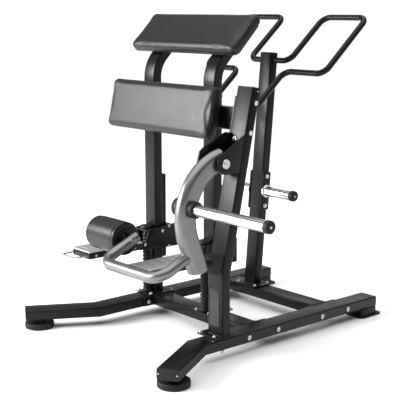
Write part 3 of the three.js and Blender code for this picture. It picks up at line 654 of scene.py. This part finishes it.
for side, s in SIDES:
    tilt = rad(REAR_LEAN)
    out = [(py + d * math.cos(tilt) + h * math.sin(tilt), PEG_Z + h * math.cos(tilt) - d * math.sin(tilt))
           for d, h in rrect(54, 196, 7)]
    a, e = sorted((s * 40.3, s * 48.3))
    p = Shape().plate(out, a, e, move=YZ)
    p.make(f"peg_base_{side}", "frame", "frame", [f"peg_plate_{side}"], bevel=1.0)
    b = Shape()
    for h in (-76, 76):
        bolt(b, (s * 48.3, py + h * math.sin(tilt), PEG_Z + h * math.cos(tilt)), (s, 0, 0), 9, 8)
    b.make(f"peg_bolts_{side}", "frame", "steel")
    sleeve = [(48.6, 0), (48.6, 32), (55, 32), (56.6, 30.5), (56.6, 26.4), (58, 25), (231, 25), (232, 24),
              (232, 0)]
    Shape().lathe((0, py, PEG_Z), (s, 0, 0), sleeve, 48).make(
        f"peg_sleeve_{side}", "frame", "chrome", [f"storage_peg_{side}"])
    bung = [(232.3, 0), (232.3, 26), (234, 27), (248, 27), (253, 25.5), (256, 21), (256, 9), (254, 8), (254, 0)]
    Shape().lathe((0, py, PEG_Z), (s, 0, 0), bung, 48).make(
        f"peg_bung_{side}", "frame", "rubber", [f"peg_cap_{side}"])
    screw = [(0, 0), (0, 6), (2.2, 5), (3, 2.6), (1.6, 2.2), (1.6, 0)]
    b = Shape().lathe((s * 253.8, py, PEG_Z), (s, 0, 0), screw, 20)
    b.make(f"peg_screw_{side}", "frame", "steel")

    al = rad(HANDLE_RISE)

    def on_handle(x, d):
        return Vector((s * x, 585 + d * math.cos(al), 1270 + d * math.sin(al)))

    low = on_handle(165, -392)
    route = fillet([on_handle(38, 0), on_handle(143, 0), on_handle(143, 327), on_handle(427, 327),
                    on_handle(427, -74), on_handle(165, -74), low, (low.x, 30.5, low.z)], 48, 12)
    h = Shape().sweep(route, circle(15, 28), up=(0.2, 0.3, 0.9))
    weld(h, on_plane(circle(15.5, 32), (s * 40.8, 585, 1270), (0, 1, 0), (0, 0, 1)), 2.0)
    weld(h, on_plane(circle(15.5, 32), (low.x, 31.5, low.z), (1, 0, 0), (0, 0, 1)), 2.0)
    h.make(f"grip_bar_{side}", "frame", "frame", [f"handle_{side}"], bevel=0)


# ---------------------------------------------------------------- pads
PAD_W = 756.0
BOARD_T = 11.5
SHRINK = 3.0              # the form starts this much smaller all round, in mm
MOVE_CAP = 0.004          # how far the simulation may move a point, in m
SIDEWAYS = 0.15           # the share of its sideways movement that is kept
CLOTH_FRAMES = 20
PINNED = 9                # depth next to the board that doesn't move, in mm
SEAM_WIDTH = 2.2
STITCH_PITCH = 5.2
WELT_PITCH = 9.0


def walk(outline, gap):
    """Points along a closed 2D outline, at most about gap apart."""
    out = []
    for (a, b), (a2, b2) in zip(outline, outline[1:] + outline[:1]):
        m = max(1, int(math.hypot(a2 - a, b2 - b) / gap))
        out += [(a + (a2 - a) * k / m, b + (b2 - b) * k / m) for k in range(m)]
    return out


def padding(name, y, z, tilt, h, t, w=PAD_W):
    """Cushion in its own frame: X across, Z up the face, Y from the face (0) to the board (t)."""
    c, s = math.cos(rad(tilt)), math.sin(rad(tilt))
    place = Matrix(((1, 0, 0, 0), (0, c, s, y), (0, -s, c, z), (0, 0, 0, 1)))
    world = Matrix.Translation(DATUM) @ Matrix.Scale(0.001, 4) @ place
    bm = bmesh.new()
    ring = rrect(w - 2 * SHRINK, h - 2 * SHRINK, 30, 8)
    low = [bm.verts.new((a, SHRINK * 0.8, b)) for a, b in ring]
    high = [bm.verts.new((a, t, b)) for a, b in ring]
    n = len(ring)
    bm.faces.new(low)
    bm.faces.new(high[::-1])
    for k in range(n):
        bm.faces.new([low[k], low[(k + 1) % n], high[(k + 1) % n], high[k]])
    bmesh.ops.recalc_face_normals(bm, faces=bm.faces)
    front = [e for e in bm.edges if all(v in set(low) for v in e.verts)]
    bmesh.ops.bevel(bm, geom=front, offset=15, segments=5, profile=0.5, affect="EDGES")
    back = [e for e in bm.edges if all(abs(v.co.y - t) < 1e-4 for v in e.verts)]
    bmesh.ops.bevel(bm, geom=back, offset=5, segments=2, profile=0.5, affect="EDGES")
    bmesh.ops.scale(bm, vec=(0.001,) * 3, verts=bm.verts)
    me = bpy.data.meshes.new(name)
    bm.to_mesh(me)
    bm.free()
    ob = bpy.data.objects.new(name + "_raw", me)
    bpy.context.collection.objects.link(ob)
    md = ob.modifiers.new("voxels", "REMESH")
    md.mode, md.voxel_size = "VOXEL", 0.006
    dg = bpy.context.evaluated_depsgraph_get()
    me = bpy.data.meshes.new_from_object(ob.evaluated_get(dg))
    ob.modifiers.clear()
    ob.data = me
    start = [v.co.copy() for v in me.vertices]
    pins = ob.vertex_groups.new(name="pins")
    pins.add([v.index for v in me.vertices if v.co.y > (t - PINNED) / 1000], 1.0, "REPLACE")
    cloth = ob.modifiers.new("stuffing", "CLOTH")
    cs = cloth.settings
    cs.quality, cs.mass, cs.use_pressure, cs.uniform_pressure_force = 5, 0.35, True, 4.0
    cs.tension_stiffness = cs.compression_stiffness = cs.shear_stiffness = 18
    cs.bending_stiffness = 0.8
    cs.effector_weights.gravity = 0
    cs.vertex_group_mass = "pins"
    cloth.collision_settings.use_collision = False
    for fr in range(1, CLOTH_FRAMES + 1):
        bpy.context.scene.frame_set(fr)
    dg = bpy.context.evaluated_depsgraph_get()
    soft = [v.co.copy() for v in ob.evaluated_get(dg).data.vertices]
    ob.modifiers.clear()
    bpy.context.scene.frame_set(1)
    for v, a, b in zip(me.vertices, start, soft):
        d = b - a
        d.x, d.z = d.x * SIDEWAYS, d.z * SIDEWAYS
        v.co = a + (d.normalized() * min(d.length, MOVE_CAP) if d.length > 1e-9 else d)
    bm = bmesh.new()
    bm.from_mesh(me)
    for _ in range(3):
        bmesh.ops.smooth_vert(bm, verts=bm.verts, factor=0.5, use_axis_x=True, use_axis_y=True,
                              use_axis_z=True)
    bm.to_mesh(me)
    bm.free()
    sub = ob.modifiers.new("fine", "SUBSURF")
    sub.levels = sub.render_levels = 1
    dg = bpy.context.evaluated_depsgraph_get()
    me = bpy.data.meshes.new_from_object(ob.evaluated_get(dg))
    bpy.data.objects.remove(ob, do_unlink=True)
    me.transform(Matrix.Scale(1000, 4))

    # fit to the cushion's room: crown the face, draw the sides in between the corners, press the seams
    hw, hh = w / 2, h / 2
    seams = (15.0, t - PINNED)
    normals = [v.normal.copy() for v in me.vertices]
    for v, n in zip(me.vertices, normals):
        x, yy, zz = v.co
        across, tall = abs(x) / hw, abs(zz) / hh
        if n.y < -0.5:
            yy -= 3.0 * (1 - across ** 4) * (1 - tall ** 2)
        if abs(n.y) < 0.75:
            wrinkle = 0.35 * math.sin(x * 0.11 + zz * 0.07) * math.sin(x * 0.043 + 1.3)
            pull = 1.6 * (1 - min(1, across) ** 6) if abs(n.z) > 0.6 else 1.2 * (1 - tall ** 4)
            dent = 2.0 * math.exp(-((yy - seams[0]) / SEAM_WIDTH) ** 2)
            dent += 1.0 * math.exp(-((yy - seams[1]) / SEAM_WIDTH) ** 2)
            if abs(n.x) > 0.7:
                dent += 1.5 * math.exp(-((zz - 0.06 * h) / 2.4) ** 2)
            amount = (dent + pull + wrinkle) * math.hypot(n.x, n.z)
            side = Vector((n.x, 0, n.z)).normalized() if math.hypot(n.x, n.z) > 1e-6 else Vector()
            x, zz = x - side.x * amount, zz - side.z * amount
        v.co = (x, yy, zz)
    xs = [v.co.x for v in me.vertices]
    zs = [v.co.z for v in me.vertices]
    ys = [v.co.y for v in me.vertices]
    kx, kz = w / (max(xs) - min(xs)), h / (max(zs) - min(zs))
    y0, y1 = min(ys), max(ys)
    for v in me.vertices:
        v.co.x *= kx
        v.co.z *= kz
        v.co.y = -2.5 + (v.co.y - y0) / (y1 - y0) * (t + 2.4)
    tree = BVHTree.FromPolygons([v.co.copy() for v in me.vertices], [list(q.vertices) for q in me.polygons])
    outline = rrect(w, h, 34, 10)
    sewn, welt = Shape(), Shape()
    pts = [tree.find_nearest(Vector((a, seams[0] - 3.2, b)))[:2] for a, b in walk(outline, STITCH_PITCH)]
    for (p0, n0), (p1, _) in zip(pts, pts[1:] + pts[:1]):
        d = p1 - p0
        if 2.0 < d.length < 9.0:
            q0, q1 = p0 + n0 * 0.15, p0 + d * 0.62 + n0 * 0.15
            sewn.sweep([q0 - n0 * 0.5, q0 + n0 * 0.25, q1 + n0 * 0.25, q1 - n0 * 0.5], circle(0.42, 6),
                       up=n0.cross(d).normalized())
    hits = [tree.find_nearest(Vector((a, seams[0], b))) for a, b in walk(outline, WELT_PITCH)]
    welt.sweep([hit[0] + hit[1] * 0.1 for hit in hits], circle(1.25, 8), up=(0, 1, 0), closed=True)
    me.transform(world)
    me.update()
    body = finish_piece(me, name, "frame", "vinyl", [name.replace("cushion", "pad")], sharp=60)
    for shape, tag, mat in ((sewn, "stitching", THREAD), (welt, "seam", M["vinyl"])):
        shape.v = [place @ v for v in shape.v]
        shape.make(f"{name}_{tag}", "frame", "vinyl", material=[mat], sharp=50)
    return place


def backing(name, place, h, t, w=PAD_W):
    b = Shape().plate([(a * 0.96, c * 0.86) for a, c in rrect(w, h, 26, 6)], t + 0.3, t + 11.8,
                      move=place @ XZ)
    b.make(f"{name}_backing", "frame", "board", [f"{name}_pad_board"], bevel=1.6)
    n = Shape()
    axis = place.to_3x3() @ Vector((0, 1, 0))
    for side, s in SIDES:
        for dx in (-52, 52):
            bolt(n, place @ Vector((s * POST_X + dx, t + 11.6, 0)), axis, 6.5, 5, False)
    n.make(f"{name}_backing_bolts", "frame", "steel")


low_place = padding("lower_cushion", -147.5, 1080, 12.3, 236, 60)
backing("lower", low_place, 236, 60)
up_place = padding("upper_cushion", 58, 1433.5, 45, 226, 50)
backing("upper", up_place, 226, 50)
for side, s in SIDES:
    x, t = s * POST_X, rad(12.3)
    back_ = 60 + BOARD_T + 0.6

    def on_board(hh):
        return (-147.5 + hh * math.sin(t) + back_ * math.cos(t),
                1080 + hh * math.cos(t) - back_ * math.sin(t))

    lo, hi, y1 = on_board(-75), on_board(75), -19.6
    k = Shape().plate(rounded([lo, (y1, lo[1] + 8), (y1, hi[1] - 8), hi], 3), x - 28, x - 22, move=YZ)
    for (ya, za), (yb, zb) in ((lo, (y1, lo[1] + 8)), (hi, (y1, hi[1] - 8))):
        d = 5 if za < 1080 else -5
        k.plate([(ya, za), (yb, zb), (yb, zb + d), (ya, za + d)], x - 27, x + 28, move=YZ)
    for (ya, za), (yb, zb), d in ((lo, hi, 5), ((y1, lo[1] + 8), (y1, hi[1] - 8), -5)):
        k.plate([(ya, za), (yb, zb), (yb + d, zb), (ya + d, za)], x - 27, x + 28, move=YZ)
    k.make(f"pad_mount_{side}", "frame", "frame", [f"pad_bracket_{side}"], bevel=0.7)

# ---------------------------------------------------------------- footplate carriages
NEAR, FAR, TOP, HALF = -440.0, -122.0, 400.0, 71.5
TRAY_TOP = TOP - 7.3
for side, s in SIDES:
    x, body = s * POST_X, f"platform_{side}"
    outline = [(122, 336), (122, 471), (-79, 463), (-86, TRAY_TOP - 6), (FAR - 20, TRAY_TOP - 6),
               (FAR - 20, 352), (-70, 341)]
    c = Shape()
    for a in (47, -53):
        c.plate(rounded(outline, [9, 9, 14, 4, 2, 6, 9]), x + a, x + a + 6, move=YZ)
    for y, z in ((100, 445), (100, 362)):
        c.lathe((x - 48, y, z), (1, 0, 0), [(0, 0), (0, 8), (96, 8), (96, 0)], 24)
    c.plate([(a + x, b - 49) for a, b in rrect(94, 54, 1)], 440.5, 447.5, [circle(8.6, 28, x, STRUT_Y)])
    c.plate(*block(x - 47.5, x + 47.5, FAR - 16, FAR - 3, 355, TRAY_TOP - 2))
    z0, z1 = 362, TRAY_TOP
    c.plate([(a + x, b + (NEAR + FAR + 3) / 2) for a, b in rrect(141, FAR - NEAR - 3, 4)], z1 - 3, z1)
    for a in (-HALF + 1, HALF - 4):
        c.plate(*block(x + a, x + a + 3, NEAR + 4, FAR - 1, z0, z1 - 2))
    c.plate(*block(x - 67, x + 67, FAR - 4, FAR - 1, z0, z1 - 2))
    c.plate(*block(x - 55.5, x + 55.5, NEAR + 3, NEAR + 6, z0, z1 - 2))
    for k in (-1, 1):
        c.plate(*block(x + k * 62 - 7, x + k * 62 + 7, NEAR + 3, NEAR + 6, z0, 371.5))
        c.plate(*block(x + k * 48 - 3, x + k * 48 + 3, NEAR + 14, NEAR + 46, 364, z1 - 2))
    c.make(f"cradle_{side}", body, "frame", [f"carriage_{side}"], bevel=0.7)
    b = Shape()
    for k in (-1, 1):
        for y, z in ((18, 433), (60, 453), (59, 348), (-93, 378)):
            bolt(b, (x + k * 53, y, z), (k, 0, 0), 6.5, 5, False)
        for y in (-170, -400):
            bolt(b, (x + k * (HALF - 0.8), y, 376), (k, 0, 0), 5, 3.4, False)
    b.make(f"cradle_bolts_{side}", body, "steel")
    slots = [slot_hole(x, NEAR + 32 + i * 51, 96, 8) for i in range(6)]
    plate_edge = [(a + x, b_ + (NEAR + FAR) / 2) for a, b_ in rrect(143, 318, 7, 6)]
    Shape().plate(plate_edge, TOP - 7, TOP, slots).make(
        f"tread_{side}", body, "alloy", [f"footplate_{side}"], bevel=1.1, segments=3)
    y0, y1, u = NEAR + 22, -522.0, HALF - 4.5
    bar = rounded([(-u, y0), (-u, y1 + 20), (-u + 20, y1), (u - 20, y1), (u, y1 + 20), (u, y0), (u - 11, y0),
                   (u - 11, y1 + 24), (u - 22, y1 + 13), (-u + 22, y1 + 13), (-u + 11, y1 + 24), (-u + 11, y0)],
                  [2, 9, 9, 9, 9, 2, 2, 4, 4, 4, 4, 2])
    lever = Shape().plate([(a + x, b_) for a, b_ in bar], 375, 381)
    for k in (-1, 1):
        lever.plate(*block(x + k * (u - 5.5) - 5.4, x + k * (u - 5.5) + 5.4, y0 - 1, y0 + 16, 374, 382))
    lever.lathe((x - u + 5, NEAR + 30, 378), (1, 0, 0), [(0, 0), (0, 5), (2 * u - 10, 5), (2 * u - 10, 0)], 20)
    lever.make(f"pull_loop_{side}", f"lever_{side}", "chrome", [f"release_lever_{side}"], bevel=1.2, segments=3,
               material=[M_LEVER])
    rod = [(160, 0), (160, 6.5), (161, 7.5), (447.8, 7.5), (447.8, 28), (449.5, 30.4), (458, 31.6), (461.5, 30),
           (463, 27), (463, 12), (461.8, 11), (461.8, 0)]
    cap = Shape().lathe((x, STRUT_Y, 0), (0, 0, 1), rod, 48).make(
        f"strut_head_{side}", body, "plastic", [f"strut_cap_{side}"])
    cutter = loose(Shape().plate(*block(x - 45, x + 45, -19.6, 20, 430, 480)))
    boolean(cap, cutter)

# ---------------------------------------------------------------- swinging arm
PX, PY, PZ = PIVOT
ARM_W, ARM_H, ARM_WALL = 60.0, 100.0, 4
BEND_Y, BEND_Z, BEND_R = 63.0, -229.0, 248.0      # the arm's bend, from the pivot
HY, HZ = PY - 170, PZ - 176                       # the horn's axis
U_LEFT, U_BAR, U_Z, U_RISE = -400.0, -332.0, -457.0, 24


def obround(w, h, n=14):
    """The arm's section, with half-round front and back."""
    pts = []
    for k in (1, -1):
        for i in range(n + 1):
            a = math.pi * i / n
            pts.append((k * (w / 2) * math.cos(a), k * (h / 2 - w / 2 + (w / 2) * math.sin(a))))
    return pts


def arm_path(extend=0.0):
    """The bend and the straight end, with both ends drawn out by extend."""
    pts = [Vector((PX, PY + BEND_Y - BEND_R * math.cos(rad(d)), PZ + BEND_Z + BEND_R * math.sin(rad(d))))
           for d in [78 - 100 * i / 48 for i in range(49)]]
    a = rad(22)
    last = pts[-1] + Vector((0, 150 * math.sin(a), -150 * math.cos(a)))
    pts.append(last)
    if extend:
        pts[0] = pts[0] + (pts[0] - pts[1]).normalized() * extend
        pts[-1] = pts[-1] + (pts[-1] - pts[-2]).normalized() * extend
    return pts


def arm_shape(w, h, extend=0.0):
    s = Shape()
    side = Vector((1, 0, 0))
    p = arm_path(extend)
    rings = []
    for i, q in enumerate(p):
        d = (p[min(i + 1, len(p) - 1)] - p[max(i - 1, 0)]).normalized()
        v = side.cross(d).normalized()
        rings.append([q + side * a + v * b for a, b in obround(w, h)])
    return s.rings(rings)


arm = arm_shape(ARM_W, ARM_H).make("arm_tube", "arm", "arm_paint", ["swing_arm"])
for cutter in (arm_shape(ARM_W - 2 * ARM_WALL, ARM_H - 2 * ARM_WALL, 9),
               Shape().plate(*block(PX - 60, PX + 60, PY - 400, PY + 120, PZ - 620, PZ - 463)),
               Shape().plate(*block(PX - 60, PX + 60, PY - 75, PY + 80, PZ - 620, PZ - 360)),
               Shape().lathe((PX, HY, HZ), (1, 0, 0), [(-80, 0), (-80, 25.2), (80, 25.2), (80, 0)], 48)):
    boolean(arm, loose(cutter))
arm.data.polygons.foreach_set("use_smooth", [True] * len(arm.data.polygons))
arm.data.set_sharp_from_angle(angle=rad(34))
hub = [(-42, 13.2), (-42, 28), (-40, 30), (34, 30), (36, 28), (36, 13.2)]
Shape().lathe((PX, PY, PZ), (1, 0, 0), hub, 48).make("arm_hub", "arm", "arm_paint")
# closed top end of the arm
topd = arm_path()
d0 = (topd[0] - topd[1]).normalized()
v0 = Vector((1, 0, 0)).cross(-d0).normalized()
lid = Shape().rings([[topd[0] + d0 * k + Vector((a * g, 0, 0)) + v0 * (b * g) for a, b in obround(ARM_W, ARM_H)]
                     for k, g in ((-4, 0.985), (0.3, 0.985), (2.0, 0.95), (3.0, 0.88))])
lid.make("arm_end_lid", "arm", "arm_paint", sharp=50)


def leg(x, d):
    """A point on one of the U bar's legs, d from its front run."""
    return Vector((PX + x, PY + U_BAR + d * math.cos(rad(U_RISE)), PZ + U_Z + d * math.sin(rad(U_RISE))))


route = fillet([leg(U_LEFT, 212), leg(U_LEFT, 0), leg(0, 0), leg(0, 215)], 68, 14)
ut = Shape().sweep(route, circle(25, 40), up=(0.1, 0.2, 0.95))
ut.make("u_bar", "arm", "arm_paint", ["u_tube"], bevel=1.6, segments=3)

# the bead lies where the bar's wall meets the arm
skin = arm_shape(ARM_W, ARM_H)
bt = BVHTree.FromPolygons(skin.v, skin.f)
axis_dir = (leg(0, 10) - leg(0, 0)).normalized()
e1 = Vector((1, 0, 0))
e2 = axis_dir.cross(e1)
bead = []
for i in range(56):
    a = 2 * math.pi * i / 56
    start = leg(0, 0) + (e1 * math.cos(a) + e2 * math.sin(a)) * 25.6
    hit = bt.ray_cast(start, axis_dir)
    if hit[0]:
        bead.append(hit[0] - axis_dir * 0.6)
seam = Shape()
if len(bead) > 40:
    weld(seam, bead, 3.0)
weld(seam, on_plane(circle(30.4, 48), (PX + 30.2, PY, PZ), (0, 1, 0), (0, 0, 1)), 1.6)
seam.make("arm_welds", "arm", "arm_paint", sharp=60)
Shape().lathe((PX, HY, HZ), (1, 0, 0), [(-50, 0), (-50, 25), (470.5, 25), (472, 23.8), (472, 0)], 56).make(
    "horn_sleeve", "arm", "chrome", ["weight_horn"])
collar = [(30.3, 25.3), (30.3, 32.5), (33, 35.4), (37, 36), (41, 34.6), (44, 33.8), (48, 34.6), (54, 36),
          (57.5, 35.2), (60, 32), (60, 25.3)]
Shape().lathe((PX, HY, HZ), (1, 0, 0), collar, 48).make(
    "horn_bumper", "arm", "rubber", ["horn_collar"], sharp=50)
bung = [(472.3, 0), (472.3, 26), (474, 27), (490, 27), (494.5, 25.6), (497, 22), (497, 9), (495, 8), (495, 0)]
Shape().lathe((PX, HY, HZ), (1, 0, 0), bung, 48).make("horn_bung", "arm", "rubber", ["horn_cap"], sharp=50)
screw = [(0, 0), (0, 6.5), (2.0, 5.4), (2.8, 2.8), (1.4, 2.4), (1.4, 0)]
Shape().lathe((PX + 494.8, HY, HZ), (1, 0, 0), screw, 20).make("horn_screw", "arm", "steel")
bumper = [(30.3, 25.3), (30.3, 38), (34, 41), (38, 42), (50, 42), (53, 39.5), (56, 39.5), (58, 42), (61, 41),
          (64, 37), (64, 0), (50.3, 0), (50.3, 25.3)]
Shape().lathe((PX, HY, HZ), (-1, 0, 0), bumper, 48).make(
    "rear_bumper", "arm", "rubber", ["arm_bumper"], sharp=50)

# roller on its shaft
RY, RZ = -400.0, 499.0
RIBS = 20
X0, X1 = -126.0, 87.0
axle = [(X0 - 12, 0), (X0 - 12, 15), (X0 - 10, 17), (X0 - 4.5, 17), (X0 - 4.5, 12), (147.3, 12), (147.3, 17.5),
        (149.6, 17.5), (150.4, 16), (150.4, 0)]
Shape().lathe((0, RY, RZ), (1, 0, 0), axle, 40).make("axle_shaft", "arm", "arm_paint", ["roller_shaft"])
foam = [(X0 + 18.3, 13), (X0 + 18.3, 73)]
for i in range(6):
    a = rad(90 * i / 5)
    foam.append((X0 + 18.3 + 5 * (1 - math.cos(a)), 72.5 + 5 * math.sin(a)))
ROUNDS = 26
for i in range(1, ROUNDS):
    xx = X0 + 23.3 + (X1 - 23.3 - (X0 + 23.3)) * i / ROUNDS
    foam.append((xx, 77.5 + 0.5 * math.sin(math.pi * i / ROUNDS)))
for i in range(6):
    a = rad(90 * (1 - i / 5))
    foam.append((X1 - 18.3 - 5 * (1 - math.cos(a)), 72.5 + 5 * math.sin(a)))
foam += [(X1 - 18.3, 73), (X1 - 18.3, 13)]
roll = Shape().lathe((0, RY, RZ), (1, 0, 0), foam, 72).make(
    "foam_roller", "roller", "foam", ["ankle_roller"], sharp=55)
for side, a, s in (("left", X0 + 18, -1), ("right", X1 - 18, 1)):
    prof = [(0, 13), (0, 76.5), (13, 76.5), (16.5, 75), (18, 71.5), (18, 53), (14, 51), (13.2, 49), (13.2, 22),
            (16, 20), (16, 13)]
    cp = Shape().lathe((a, RY, RZ), (s, 0, 0), prof, 60)
    q = facing((s, 0, 0))
    for i in range(RIBS):
        th = 2 * math.pi * i / RIBS
        rot = Matrix.Translation(Vector((a, RY, RZ))) @ q.to_matrix().to_4x4() @ Matrix.Rotation(th, 4, "Z")
        cp.plate([(c_ + 62, d_) for c_, d_ in rrect(12.5, 9.5, 1.8, 3)], 17.5, 19.2, move=rot)
    cp.make(f"roller_rim_{side}", "roller", "plastic", [f"roller_cap_{side}"], bevel=0.35)

# ---------------------------------------------------------------- floor, light and camera
me = bpy.data.meshes.new("studio_floor")
me.from_pydata([(-14, -14, 0), (14, -14, 0), (14, 14, 0), (-14, 14, 0)], [], [(0, 1, 2, 3)])
floor = bpy.data.objects.new("studio_floor", me)
bpy.context.collection.objects.link(floor)
fm = Nodes("studio_floor_paint", (0.90, 0.90, 0.90), 0.75)
fm.color(fm.mix(fm.noise(3, 3), (0.885, 0.885, 0.885), (0.91, 0.91, 0.91)))
me.materials.append(fm.m)

world = bpy.data.worlds.new("studio")
bpy.context.scene.world = world
world.use_nodes = True
wt = world.node_tree
sky = wt.nodes.new("ShaderNodeTexCoord")
height = wt.nodes.new("ShaderNodeSeparateXYZ")
band = wt.nodes.new("ShaderNodeMapRange")
wt.links.new(sky.outputs["Generated"], height.inputs[0])
wt.links.new(height.outputs["Z"], band.inputs[0])
for i, v in enumerate((0.03, 0.16, 1.12, 0.20)):
    band.inputs[i + 1].default_value = v
wt.links.new(band.outputs[0], wt.nodes["Background"].inputs[1])
wt.nodes["Background"].inputs[0].default_value = (1, 1, 1, 1)


def softbox(name, at, target, w, h, radiance):
    light = bpy.data.lights.new(name, "AREA")
    light.shape, light.size, light.size_y = "RECTANGLE", w, h
    light.energy = radiance * math.pi * w * h
    ob = bpy.data.objects.new(name, light)
    bpy.context.collection.objects.link(ob)
    ob.location = at
    ob.rotation_euler = (Vector(target) - Vector(at)).to_track_quat("-Z", "Y").to_euler()
    return ob


softbox("key", (-2.1, -3.4, 1.98), (0.1, -0.15, 0.95), 3.1, 1.5, 23.0)
softbox("rear", (-3.2, 3.6, 3.1), (0, 0, 0.8), 2.0, 1.2, 2.0)
ceiling = bpy.data.lights.new("ceiling", "SUN")
ceiling.energy, ceiling.angle = 3.0, rad(85)
bpy.context.collection.objects.link(bpy.data.objects.new("ceiling", ceiling))

cam = bpy.data.objects.new("camera", bpy.data.cameras.new("camera"))
bpy.context.collection.objects.link(cam)
cam.location = DATUM + Vector((3.6922, -3.046, 1.5328))
cam.rotation_euler = (rad(90 - 10.84), rad(0.064), rad(49.381))
cam.data.lens, cam.data.sensor_width, cam.data.clip_start = 90.48, 36, 0.05
bpy.context.scene.camera = cam
bpy.context.scene.view_settings.view_transform = "Standard"
